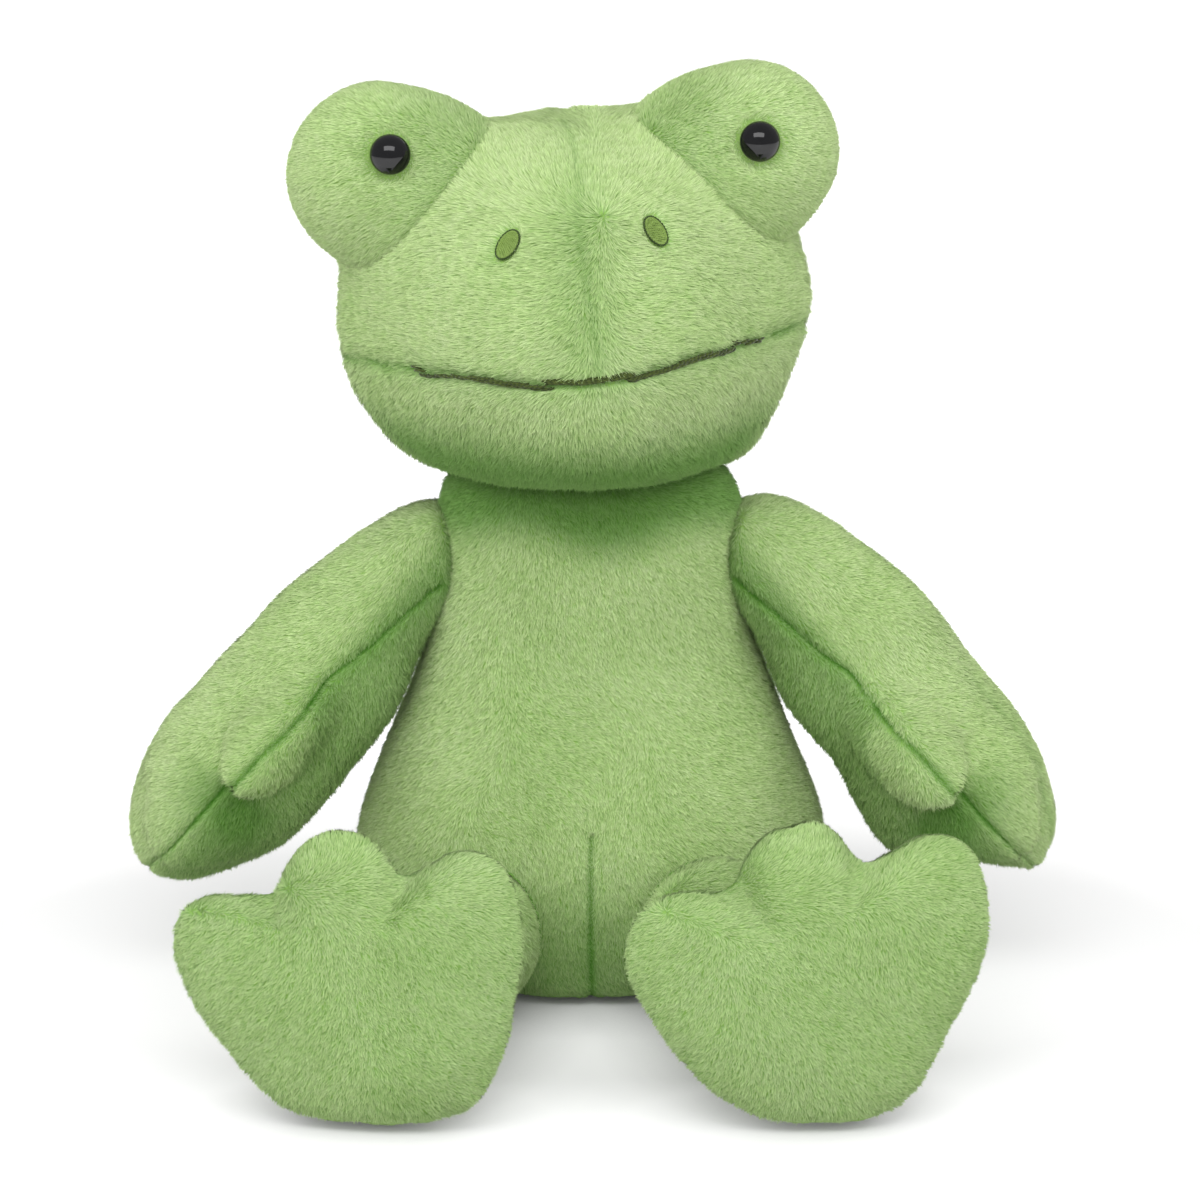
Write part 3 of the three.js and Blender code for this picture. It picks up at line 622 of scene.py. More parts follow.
# %% Arm rows
arm_heights = [-22, -19, -13, -6, 0, 6, 15, 25.6, 39.8, 56.8, 71, 82.4, 93.7, 103.7, 112, 120, 128, 135, 142]
arm_front = [0, 9.5, 16.5, 19.6, 20.6, 20.8, 21, 22, 24, 26.7, 29, 31, 32.5, 33, 32.5, 30, 26, 19, 0]
arm_back = [0, 9.5, 16.5, 19.6, 20.6, 20.8, 21, 22, 24, 25.8, 28.5, 32.2, 36.8, 40, 41.5, 40, 35, 26, 0]
arm_outside = {
    "left": [0, 8, 14.5, 18.8, 21.2, 23.4, 25.6, 28, 30.7, 31.6, 30.3, 30, 30.5, 30, 28.5, 25.5, 21.5, 15.5, 0],
    "right": [0, 6, 11.2, 14.6, 16.8, 19, 21.2, 23, 25.2, 27.2, 28.6, 28.5, 29.3, 28, 26, 23, 19, 13.5, 0],
}
arm_inside = {
    "left": [0, 8.5, 15, 18.5, 20, 21, 22.8, 25.5, 29.3, 30.6, 30.4, 32.6, 34.6, 34.6, 31, 23.5, 15, 7.5, 0],
    "right": [0, 8.5, 15, 18.5, 20, 21, 22.8, 26.3, 31.2, 33.6, 34.4, 34.6, 33.8, 32.4, 29.5, 25.5, 20.5, 14.5, 0],
}
# each thumb's place across the arm, half its width, and how far down its underside is
thumbs = {"left": (-4.5, 16.5, 107.5), "right": (-3.5, 14.5, 104.0)}
print("arm length:", arm_heights[-1] - arm_heights[0], "mm")

# %% [markdown]
# ## Thumb and fingers
# The thumb is a round knob that stands on the front seam, and the fingers are only hinted at by
# two shallow valleys at the tip. A knob could be a piece of its own, joined on. On the real toy it
# is part of the same panels, so the rings themselves bulge: a ray from the arm's middle goes out
# to the knob wherever the knob stands proud of the arm.

# %% Thumb and fingers
THUMB_FORWARD, THUMB_HALF_DEEP, THUMB_ABOVE, THUMB_BELOW = -27.5, 20.5, 30, 14
THUMB_DROP, FINGER_VALLEY = 8.5, 6


def thumb_and_fingers(grid, across, wide, low):
    x, y, along = grid[..., 0], grid[..., 1], -grid[..., 2]
    centre, half = np.array([across, THUMB_FORWARD]), np.array([wide, THUMB_HALF_DEEP])
    past = along - (low - 27) + 0.4 * np.maximum(across - x, 0)
    size = np.sqrt(np.maximum(1 - (past / np.where(past > 0, THUMB_BELOW, THUMB_ABOVE)) ** 2, 1e-6))
    reach = np.hypot(x, y) + 1e-6
    way = np.stack([x, y], -1) / reach[..., None]
    a = ((way / half) ** 2).sum(-1) + 1e-9
    b = (way * centre / half**2).sum(-1)
    c = ((centre / half) ** 2).sum() - size**2
    inside = b * b - a * c
    knob = np.where((inside > 0) & (abs(past) < THUMB_ABOVE), (b + np.sqrt(np.maximum(inside, 0))) / a, 0)
    grown = np.where(knob > 0, 2.5 * np.log1p(np.exp(np.clip(knob - reach, -60, 60) / 2.5)), 0)
    grid = grid.copy()
    grid[..., 0] += way[..., 0] * grown
    grid[..., 1] += way[..., 1] * grown
    grid[..., 2] -= THUMB_DROP * np.clip(grown / 11, 0, 1.1) ** 2
    # three fingers side by side, with two shallow valleys between them
    share = y / 36.0
    valley = np.exp(-(((share - 0.3) / 0.14) ** 2)) + np.exp(-(((share + 0.42) / 0.14) ** 2))
    end = np.clip((along - 108) / 30, 0, 1) ** 1.5
    grid[..., 2] += FINGER_VALLEY * valley * end
    grid[..., 0] *= 1 - 0.3 * valley * end
    return grid


print("left thumb's underside at", thumbs["left"][2], "mm from the shoulder")

# %% [markdown]
# ## From rings to an arm
# The rings are rounded by four quarter ovals, and near the armpit the front seam turns inwards, as
# the panels do there. The arm is then tilted away from the torso and moved to its shoulder.

# %% Arm form
# how far the front seam turns, in degrees, by the height down the arm
SEAM_TURNS = [0, 25, 46, 66, 142], [45, 24, 8, 2, 0]


def arm_grid(side, columns, count):
    """The arm in its own frame: along -Z from the shoulder's pivot, its front seam at -Y and its outside at +X."""
    rows = smooth_rows(list(zip(arm_heights, arm_outside[side], arm_inside[side], arm_front, arm_back)), count)
    # 0 degrees is the outside, and the front seam comes at 90, but near the armpit it turns inwards
    degrees = np.linspace(0, 360, columns, endpoint=False)
    seam_turn = np.interp(rows[:, :1], *SEAM_TURNS)
    angles = np.radians(degrees + seam_turn * np.exp(-(((degrees - 90) / 60) ** 2)))
    cosine, sine = np.cos(angles), np.sin(angles)
    side_reach = np.where(cosine > 0, rows[:, 1:2], rows[:, 2:3])
    depth_reach = np.where(sine > 0, rows[:, 3:4], rows[:, 4:5])
    grid = np.stack([side_reach * cosine, -depth_reach * sine, np.broadcast_to(-rows[:, :1], side_reach.shape)], -1)
    return thumb_and_fingers(grid, *thumbs[side])


# the arms hang outwards and a little forwards
arm_turn = turned(x=-6) @ turned(y=-39.5)


def arm_place(points, side):
    return moved(moved(points, arm_turn), None, shoulder_pivot["left"], sides[side]["mirror"])


def in_arm(points, side):
    """Where points of the finished arm are in the arm's own frame."""
    return (points * np.array([sides[side]["mirror"], 1, 1]) - shoulder_pivot["left"]) @ arm_turn


print("left hand's end:", arm_place(arm_grid("left", 60, 64)[-1, :1], "left").round(1))

# %% [markdown]
# ## Leg form
# A leg is a short soft tube with round ends: one end is sewn into the hip and the other into the
# foot. A cylinder would look like wood. This one is a barrel that has settled under its own
# weight, so it is lower than it is wide.

# %% Leg form
LEG_LENGTH, HIP_RADIUS, THIGH_RADIUS, ANKLE_RADIUS = 63.0, 27.0, 29.5, 23.0


def leg_grid(columns, count):
    """The leg in its own frame: along -Y from the hip's pivot."""
    hip = [(HIP_RADIUS * h, HIP_RADIUS * math.sqrt(1 - h * h)) for h in (-0.9, -0.62, -0.22, 0.14)]
    swell = ((0.18, 0.87), (0.36, 0.96), (0.56, 1), (0.74, 0.96), (0.88, 0.86))
    barrel = [(LEG_LENGTH * s, THIGH_RADIUS * r) for s, r in swell]
    ankle = [(LEG_LENGTH + ANKLE_RADIUS * h, ANKLE_RADIUS * math.sqrt(1 - h * h)) for h in (0.14, 0.62, 0.9)]
    rows = smooth_rows([(-HIP_RADIUS, 0), *hip, *barrel, *ankle, (LEG_LENGTH + ANKLE_RADIUS, 0)], count)
    angles = np.linspace(0, 2 * np.pi, columns, endpoint=False)
    # the leg's own weight makes it lower than it is wide
    settled = 0.24 * np.clip(rows[:, :1] / 30, 0, 1)
    upright = rows[:, 1:] * np.sin(angles) * (1 - settled) - settled * rows[:, 1:]
    return np.stack([rows[:, 1:] * np.cos(angles), np.broadcast_to(-rows[:, :1], (count, columns)), upright], -1)


def leg_place(points, side):
    rotation = turned(z=sides[side]["splay"])
    return moved(moved(points, rotation), None, hip_pivot["left"], sides[side]["mirror"])


print("leg length:", LEG_LENGTH)

# %% [markdown]
# ## Foot form
# A foot is two flat panels, the sole and the upper, sewn edge to edge round three toes and
# filled to a cushion. An outline could be extruded and rounded, but its corners would pinch
# between the toes. So the rings of a flattened ball are stretched to the outline, which is given
# by its reach in each direction, and shallow valleys run in from between the toes.

# %% Foot outlines
# how far the edge is from the foot's middle, by degrees from the middle toe; the inner side counts up
foot_outline = {
    "left": [
        (-180, 50), (-168, 51.5), (-156, 52.5), (-144, 51.5), (-132, 49.5), (-120, 48.8), (-108, 52), (-96, 55.6),
        (-84, 59.5), (-72, 63), (-61, 65), (-50, 60), (-42, 47), (-35, 40), (-28, 41), (-20, 46.5), (-12, 49.5), (0, 48.5),
        (12, 47.2), (22, 43), (30, 39.5), (37, 40), (44, 45.5), (52, 53), (60, 58), (72, 59.5), (84, 56.6), (96, 52.5),
        (108, 50), (120, 48.6), (132, 48.5), (144, 48.8), (156, 49), (168, 49.3), (180, 50),
    ],
    "right": [
        (-180, 46.5), (-168, 45.4), (-156, 45.6), (-144, 46), (-132, 46), (-120, 45.2), (-108, 46.5), (-96, 49.2),
        (-84, 53.2), (-72, 57.8), (-60, 60), (-50, 55.5), (-42, 47), (-35, 41), (-28, 40), (-20, 43.5), (-10, 48), (0, 50),
        (12, 49.5), (22, 45), (30, 40.5), (37, 41), (43, 50), (50, 58.5), (58, 62), (72, 60), (84, 56.9), (96, 53.5),
        (108, 52.3), (120, 52.8), (132, 53.8), (144, 54.3), (156, 52), (168, 48.9), (180, 46.5),
    ],
}
DEGREE = 0.9  # how many millimetres one degree counts for when the curve's length is measured


def outline_reach(side, degrees):
    """How far the foot's edge is from its middle, smoothly, at an angle from the middle toe."""
    rows = smooth_rows([(d * DEGREE, r) for d, r in foot_outline[side]], 721, False, False)
    return np.interp((np.asarray(degrees) + 180) % 360 - 180, rows[:, 0] / DEGREE, rows[:, 1])


print("foot edge at the toes:", outline_reach("left", [0, 36, 68]).round(1))

# %% Foot form
SOLE_CROWN, INSTEP_CROWN, ANKLE_BEHIND = 17.0, 24.0, 8.0
TOE_GAPS, TOE_VALLEY = (35, 325), 4.5
TIPPED_BACK = 8


def foot_grid(side, columns, count, back=0.0):
    """The foot in the ankle's frame, smaller all round by back: the sole faces -Y and the middle toe points up."""
    polar = np.linspace(-np.pi / 2, np.pi / 2, count)  # from the instep's middle over the edge to the sole's middle
    ring = np.cos(polar) ** 0.8
    degrees = -np.linspace(0, 360, columns, endpoint=False)
    reach = outline_reach(side, degrees) - back
    front = (SOLE_CROWN - back) * (1 - ring**2.6) ** 0.6
    behind = -(INSTEP_CROWN - back) * (1 - ring**1.9) ** 0.8
    crown = np.where(polar > 0, front, behind)
    angle = np.radians(degrees)
    x = -reach * ring[:, None] * np.sin(angle)
    z = reach * ring[:, None] * np.cos(angle)
    y = np.broadcast_to(-crown[:, None], x.shape).copy()
    # short valleys run from between the toes towards the middle, on both faces
    off = np.minimum(*(abs((degrees % 360) - gap) for gap in TOE_GAPS))
    valley = np.exp(-((off / 9) ** 2)) * np.clip((ring[:, None] - 0.6) / 0.38, 0, 1)
    y -= np.sign(y) * TOE_VALLEY * valley * np.clip(abs(y) / 8, 0, 1)
    y -= INSTEP_CROWN + ANKLE_BEHIND
    return np.stack([x, y, z], -1)


def foot_place(points, side):
    at = sides[side]
    leg_turn = turned(z=at["splay"])
    foot_turn = turned(z=at["yaw"] - at["splay"]) @ turned(x=-TIPPED_BACK) @ turned(y=-at["roll"])
    ankle = leg_turn @ np.array([0, -LEG_LENGTH, 0]) + hip_pivot["left"]
    whole = leg_turn @ foot_turn
    placed = moved(points, whole, ankle)
    # it slides along its own height until it stands on the floor
    edge = moved(foot_grid(side, 96, 33).reshape(-1, 3), whole, ankle)
    placed = placed + whole[:, 2] * ((-0.5 - edge[:, 2].min()) / whole[2, 2])
    return placed * np.array([at["mirror"], 1, 1])


print("feet:", [foot_place(foot_grid(s, 24, 9).reshape(-1, 3), s).mean(0).round(1).tolist() for s in sides])

# %% [markdown]
# ## Sewing and stuffing
# A stuffed cover is held in at its seams and swells between them. That swelling could be sculpted,
# but a short cloth simulation finds it on its own: the seam points are pinned, air pressure stands
# in for the filling, and no point may move more than a few millimetres. After it comes one
# subdivision, then the narrow things that a simulation of this size can't hold: the valley of each
# seam, the puckers beside it and the dimples that the eyes pull in.

# %% Distances and waves
def along_lines(lines, step=0.8):
    """Points closely spaced along lines of points, in millimetres."""
    found = []
    for line in lines:
        line = np.asarray(line, float)
        gaps = np.linalg.norm(np.diff(line, axis=0), axis=1)
        at = np.concatenate([[0], np.cumsum(gaps)])
        wanted = np.linspace(0, at[-1], max(2, int(at[-1] / step)))
        found.append(np.stack([np.interp(wanted, at, line[:, k]) for k in range(3)], 1))
    return np.vstack(found)


def distance_to(points, targets, with_nearest=False):
    """How far each point is from the nearest target, both in millimetres, and where that target is."""
    found, nearest = np.full(len(points), 1e9), np.zeros((len(points), 3))
    for start in range(0, len(targets), 64):
        part = targets[start : start + 64]
        gaps = np.linalg.norm(points[:, None, :] - part[None], axis=2)
        best = gaps.argmin(1)
        gap = gaps[np.arange(len(points)), best]
        nearest[gap < found] = part[best[gap < found]]
        found = np.minimum(found, gap)
    return (found, nearest) if with_nearest else found


def waves(points, size, seed, count=7):
    """A smooth random value from -1 to 1 at each point, with hills about size millimetres apart."""
    draw = np.random.default_rng(seed)
    directions = draw.normal(size=(count, 3))
    directions /= np.linalg.norm(directions, axis=1)[:, None]
    pace = 2 * np.pi / (size * draw.uniform(0.7, 1.5, count))
    total = np.sin(points @ directions.T * pace + draw.uniform(0, 6.28, count)).sum(1)
    return np.clip(total / math.sqrt(count) * 0.9, -1, 1)


print("waves:", waves(np.array([[0.0, 0, 0], [9, 0, 0]]), 20, 1).round(2))

# %% Cloth simulation
CLOTH_FRAMES, AIR_PRESSURE = 14, 4.0


def stuff(skin, held, cap):
    """Swells a skin between its held points by a cloth simulation, moving no point by more than cap millimetres."""
    scene = bpy.context.scene
    group = skin.vertex_groups.new(name="held")
    group.add(np.flatnonzero(held).tolist(), 1.0, "REPLACE")
    cloth = skin.modifiers.new("stuffing", "CLOTH")
    cloth.settings.vertex_group_mass = "held"
    cloth.settings.use_pressure = True
    cloth.settings.uniform_pressure_force = AIR_PRESSURE
    cloth.settings.effector_weights.gravity = 0
    cloth.settings.quality = 4
    cloth.point_cache.frame_start, cloth.point_cache.frame_end = 1, CLOTH_FRAMES
    for frame_number in range(1, CLOTH_FRAMES + 1):
        scene.frame_set(frame_number)
    swollen = skin.evaluated_get(bpy.context.evaluated_depsgraph_get())
    after = points_of(swollen)
    skin.modifiers.remove(cloth)
    scene.frame_set(1)
    before = points_of(skin)
    move = after - before
    far = np.linalg.norm(move, axis=1, keepdims=True) / MM
    put_points(skin, before + move * np.where(far > 1e-6, cap * np.tanh(far / cap) / np.maximum(far, 1e-6), 0))
    return float(far.max())


def subdivided(made):
    """The piece's mesh after one smooth subdivision."""
    modifier = made.modifiers.new("finer", "SUBSURF")
    modifier.levels = modifier.render_levels = 1
    modifier.boundary_smooth = "PRESERVE_CORNERS"
    finer = bpy.data.meshes.new_from_object(made.evaluated_get(bpy.context.evaluated_depsgraph_get()))
    made.modifiers.remove(modifier)
    old, name = made.data, made.name
    made.vertex_groups.clear()
    made.data = finer
    bpy.data.meshes.remove(old)
    finer.name = name
    finer.polygons.foreach_set("use_smooth", [True] * len(finer.polygons))
    return made


print("cloth steps:", CLOTH_FRAMES)

# %% [markdown]
# ## What a seam does
# A seam lies in a valley, and its narrow dark line and the faint wide band beside it are painted
# shade. Both are found from the cloth's own point, which lies deeper than the tips of the pile
# where the line was drawn. Cutting real panels and sewing them with springs would give truer
# puckers, but the panels would drift from the form.

# %% Seams
def seam_gap(points, normals, seams, deep):
    """How far each point is from the nearest seam, measured along the cloth, which lies deeper than the seam's line."""
    gap, nearest = distance_to(points, seams, with_nearest=True)
    across = points - nearest
    across -= normals * (across * normals).sum(1)[:, None]
    return np.maximum(np.linalg.norm(across, axis=1), np.sqrt(np.maximum(gap**2 - (deep + 2.5) ** 2, 0)))


def seam_shade(off):
    """How much painted shade deepens the colour this far from a seam: a narrow dark line in a faint wide band."""
    return np.clip(0.68 * np.exp(-((off / 0.9) ** 2)) + 0.15 * np.exp(-((off / 5.5) ** 2)), 0, 1)


print("shade at 0, 1 and 5 mm from a seam:", seam_shade(np.array([0, 1, 5.0])).round(2))

# %% Sew one cover
SEAT_LEVEL, SEAT_ROUND = 1.1, 2
skins = {}


def sew(
    name, grid, lines, body, flip=False, cap=2.0, valley=(1.5, 1.6), dimples=(), still=None, lump=0.9,
    back=PILE_HEIGHT, strength=1.0, faint=(), shape=None,
):
    """A cover from rows of points: set back by the pile, stuffed, then its seams, dimples and lumps pressed in."""
    skin = ring_skin(name, grid, flip)
    if shape is not None:
        put_points(skin, shape(points_of(skin) / MM, normals_of(skin)) * MM)
    seams = along_lines(lines)
    off = distance_to(points_of(skin) / MM, seams)
    slack = 0.5 * cap * (1 - np.exp(-((off / 12) ** 2)))
    put_points(skin, points_of(skin) - normals_of(skin) * (back + slack)[:, None] * MM)
    held = off < 2.0
    if still is not None:
        held |= still(points_of(skin) / MM)
    swell, start, out = 0.0, points_of(skin), normals_of(skin)
    swell = stuff(skin, held, cap)
    # the stuffing shapes the cover, and its mean size stays the form's
    grown = ((points_of(skin) - start) * out).sum(1) / MM
    missing = (slack - grown)[~held].mean() * slack / slack.max()
    put_points(skin, points_of(skin) + out * missing[:, None] * MM)
    subdivided(skin)
    points, normals = points_of(skin) / MM, normals_of(skin)
    off = seam_gap(points, normals, seams, back)
    depth = valley[0] * np.exp(-((off / valley[1]) ** 2))
    depth += 0.35 * waves(points, 10, 3) * np.exp(-((off / 9) ** 2))
    # painted shade along each seam's line and band, and along the faint seams below
    shade = strength * seam_shade(off)
    for line in faint:
        near = seam_gap(points, normals, along_lines([line]), back)
        depth += 0.35 * np.exp(-((near / 2.5) ** 2))
        shade = np.maximum(shade, 0.24 * np.exp(-((near / 1.1) ** 2)) + 0.12 * np.exp(-((near / 8) ** 2)))
    for centre, radius, deep in dimples:
        gap = np.linalg.norm(points - centre, axis=1)
        depth += deep * np.exp(-((gap / radius) ** 4))
    depth += lump * waves(points, 46, 5) * (1 - np.exp(-((off / 14) ** 2)))
    points = points - normals * depth[:, None]
    # nothing goes below the floor
    under = points[:, 2] - SEAT_LEVEL - SEAT_ROUND
    pressed = SEAT_LEVEL + SEAT_ROUND * np.exp(np.minimum(under, 0) / SEAT_ROUND)
    points[:, 2] = np.where(under < 0, pressed, points[:, 2])
    put_points(skin, points * MM)
    skins[name] = dict(skin=skin, body=body, seams=seams, off=off, shade=shade)
    print(f"{name}: {len(skin.data.polygons)} faces, swelled {swell:.1f} mm")


print("the cloth lies", PILE_HEIGHT, "mm under the tips of its pile")

# %% [markdown]
# ## Torso cover
# The seams run up both sides, up the back and from the crotch to the belly. The seat and the rim
# of the neck are held still while the cover swells, because they rest on something.

# %% Torso cover
CROTCH_SEAM_TOP = 62
grid = torso_grid(112, 62)
front = [p for p in grid[:, 84] if p[2] < CROTCH_SEAM_TOP]
torso_lines = [grid[2:, 5], grid[2:, 51], grid[2:-4, 28], front]
sew("torso_skin", grid, torso_lines, "torso", cap=2.5, strength=0.6, still=lambda p: (p[:, 2] < 3) | (p[:, 2] > 164))

# %% [markdown]
# ## Seams of the head
# The mouth seam goes round from cheek to cheek and on behind the head. A faint seam runs from the
# mouth up over the forehead between the two halves of the face, and a plain one down the back.

# %% Seam lines of the head
grid = head_grid(120, 64)
mouth_sides = np.linspace(-0.985, 0.985, 61)
mouth_line = np.array([face_point(mouth_height(s), s) for s in mouth_sides])
top_line = [face_point(h, MIDDLE_SHARE * min(1, (0.975 - h) / 0.1)) for h in np.linspace(0.398, 0.974, 60)]
mouth_row = int(np.argmin(abs(profile_rows(64)[:, 0] / HEAD_HEIGHT - MOUTH_SHARE)))
back_line = [grid[mouth_row, c % 120] for c in range(0, 61)]
back_middle = grid[4:-6, 30]
print("mouth seam:", len(mouth_line), "points, from", mouth_line[0].round(1), "to", mouth_line[-1].round(1))

# %% [markdown]
# ## Head cover
# The stitching of the nostrils pulls two dimples into the muzzle, and the head runs into the mounds
# in a fold. The fold is found from the plain forms of both, which are thrown away afterwards.

# %% Head cover
eyes = {side: eye_frame(side) for side in sides}
nostrils = {"left": face_point(0.733, 0.327), "right": face_point(0.74, -0.275)}


def tree_of_form(grid):
    """A search tree, in millimetres, over the plain form that a grid of points makes."""
    form = ring_skin("form", grid)
    tree = tree_over((points_of(form) / MM).tolist(), form.data.polygons)
    bpy.data.objects.remove(form)
    return tree


head_tree = tree_of_form(grid)
mound_trees = [tree_of_form(mound_grid(side, 56, 30)) for side in sides]


def meets_mounds(points, normals):
    for tree in mound_trees:
        points = filleted(points, normals, tree)
    return points


sew(
    "head_skin", grid, [mouth_line, back_line, back_middle], "head", cap=2.5, valley=(1.5, 1.3), faint=[top_line],
    dimples=[(nostrils[s], 8.0, 1.6) for s in sides], still=lambda p: p[:, 2] < 176, shape=meets_mounds,
)

# %% [markdown]
# ## Mound covers
# The shank of each eye is drawn back into its mound, which leaves a dimple round the eye. A fold
# of cloth could be modelled there, but the pile would hide it.

# %% Mound covers
for side, at in sides.items():
    grid = mound_grid(side, 56, 30)
    # the seam goes over the top and round the back of the mound, out of sight from the front
    ring = max((grid[5:-5, c] for c in range(56)), key=lambda line: line[:, 1].mean())
    place, look = eyes[side]
    sew(
        f"{side}_mound_skin", grid, [ring], "head", cap=1.5,
        dimples=[(place - look * PILE_HEIGHT, 9.5, 2.6)], lump=0.5,
        shape=lambda p, n: filleted(p, n, head_tree),
    )

# %% [markdown]
# ## Arm covers
# One seam runs down the front edge of the arm and round the hand, and one down the back. The top
# of the arm is gathered into the shoulder, so it is held still and meets the torso in a fold.

# %% Arm covers
torso_tree = tree_of_form(torso_grid(112, 62))


def meets_torso(points, normals, side):
    """The shoulder runs into the torso in a shallow fold, which ends at the armpit."""
    share = (1 - softly(-in_arm(points, side)[:, 2], 8, 36)) * softly(-normals[:, 1], 0.1, 0.6)
    return points + (filleted(points, normals, torso_tree, 3.0, 6.0) - points) * share[:, None]


for side, at in sides.items():
    grid = arm_place(arm_grid(side, 60, 64), side)
    sew(
        f"{side}_arm_skin", grid, [grid[10:, 15], grid[12:, 45]], f"{side}_arm", flip=at["mirror"] < 0, cap=2.0,
        valley=(1.3, 1.1), still=lambda p, g=grid: distance_to(p, g[:12].reshape(-1, 3)) < 3.5,
        shape=lambda p, n, s=side: meets_torso(p, n, s), faint=[grid[36:-3, 4]] if side == "left" else [],
    )

# %% [markdown]
# ## Leg and foot covers
# A leg has one seam along its outer side. A foot's seam goes round its edge and barely shows,
# because the pile of the sole and of the upper meet over it.

# %% Leg and foot covers
for side, at in sides.items():
    grid = leg_place(leg_grid(52, 34), side)
    sew(f"{side}_leg_skin", grid, [grid[6:-6, 0]], f"{side}_leg", flip=at["mirror"] < 0, cap=1.5, lump=0.5)
    grid = foot_place(foot_grid(side, 108, 37, PILE_HEIGHT), side)
    sew(
        f"{side}_foot_skin", grid, [np.vstack([grid[18], grid[18, :1]])], f"{side}_foot", flip=at["mirror"] > 0,
        cap=2.0, valley=(0.5, 1.3), back=0.0, strength=0.35,
    )
print("skins:", list(skins))

# %% [markdown]
# ## Plush colours
# The fibres are dyed one green, yet the toy looks mottled: where the pile parts, the eye sees down
# to its shaded and more strongly coloured roots, and where it lies flat its tips look pale. The
# group below gives a colour that drifts over the cloth in patches and clumps. It reads Object
# coordinates, so it runs on across seams and stays put when a limb moves.

# %% Plush tint group
def plush_tint_group():
    tree = bpy.data.node_groups.new("plush_tint", "ShaderNodeTree")
    given = new_inputs(tree, (
        ("Base", "Color", colour(194, 213, 152)), ("Pale", "Color", colour(208, 220, 173)),
        ("Deep", "Color", colour(155, 189, 105)), ("Patch Scale", "Float", 32.0), ("Clump Scale", "Float", 330.0),
        ("Patchiness", "Float", 0.35), ("Clumpiness", "Float", 0.5),
    ))
    tree.interface.new_socket("Colour", in_out="OUTPUT", socket_type="NodeSocketColor")
    where = node(tree, "ShaderNodeTexCoord").outputs["Object"]
    drifts = []
    hill_sizes = (("Patch Scale", "Patchiness", 3.0, 3.0), ("Clump Scale", "Clumpiness", 2.0, 2.5))
    for scale, amount, detail, strength in hill_sizes:
        hills = node(tree, "ShaderNodeTexNoise", {"Vector": where, "Scale": given[scale], "Detail": detail}).outputs["Fac"]
        height = maths(tree, "SUBTRACT", hills, 0.5)
        drifts.append(maths(tree, "MULTIPLY", height, maths(tree, "MULTIPLY", given[amount], strength)))
    level = maths(tree, "ADD", *drifts)
    paler = mixed(tree, node(tree, "ShaderNodeClamp", {"Value": level}).outputs[0], given["Base"], given["Pale"])
    deeper = maths(tree, "MULTIPLY", level, -1.0)
    tint = mixed(tree, node(tree, "ShaderNodeClamp", {"Value": deeper}).outputs[0], paler, given["Deep"])
    tree.links.new(tint, node(tree, "NodeGroupOutput").inputs["Colour"])
    return tree


def attribute(tree, name):
    return node(tree, "ShaderNodeAttribute", attribute_name=name).outputs["Fac"]


plush_tint = plush_tint_group()
print("group inputs:", [s.name for s in plush_tint.interface.items_tree])

# %% [markdown]
# ## Pile and cloth
# Each blade is painted deeper at its root and paler at its tip, painted shade and light of the
# pile's depth, and beside a seam and in creases painted shade deepens the colour, stored as a share
# on the points. Light goes a little way through fibres, so a blade with a lamp behind it isn't
# black. The knitted cloth under the pile only shows where the pile parts, so a noise is enough for
# its knit; its green is deeper than the pile's, partly its own colour and partly painted shade
# among the roots. A photograph of plush could be laid on instead, but it would bring its own light
# and shadow.

# %% Pile and cloth materials
DEEPEST = (0.2, 0.41, 0.12, 1)  # what the colour is multiplied by in the deepest shade


def shaded(name, roughness=0.9, specular=0.2, sheen=0.0, sheen_rough=0.5, sheen_tint=(1, 1, 1, 1)):
    """A new material with its constant values set on the shader's own sockets."""
    material = bpy.data.materials.new(name)
    material.use_nodes = True
    shader = material.node_tree.nodes["Principled BSDF"]
    shader.inputs["Roughness"].default_value = roughness
    shader.inputs["Specular IOR Level"].default_value = specular
    shader.inputs["Sheen Weight"].default_value = sheen
    shader.inputs["Sheen Roughness"].default_value = sheen_rough
    shader.inputs["Sheen Tint"].default_value = sheen_tint
    return material, material.node_tree, shader


# the stored share of painted shade multiplies the colour towards DEEPEST
def with_painted_shade(tree, tint):
    shade = mixed(tree, attribute(tree, "seam_shade"), (1, 1, 1, 1), DEEPEST)
    return mixed(tree, 1.0, tint, shade, "MULTIPLY")


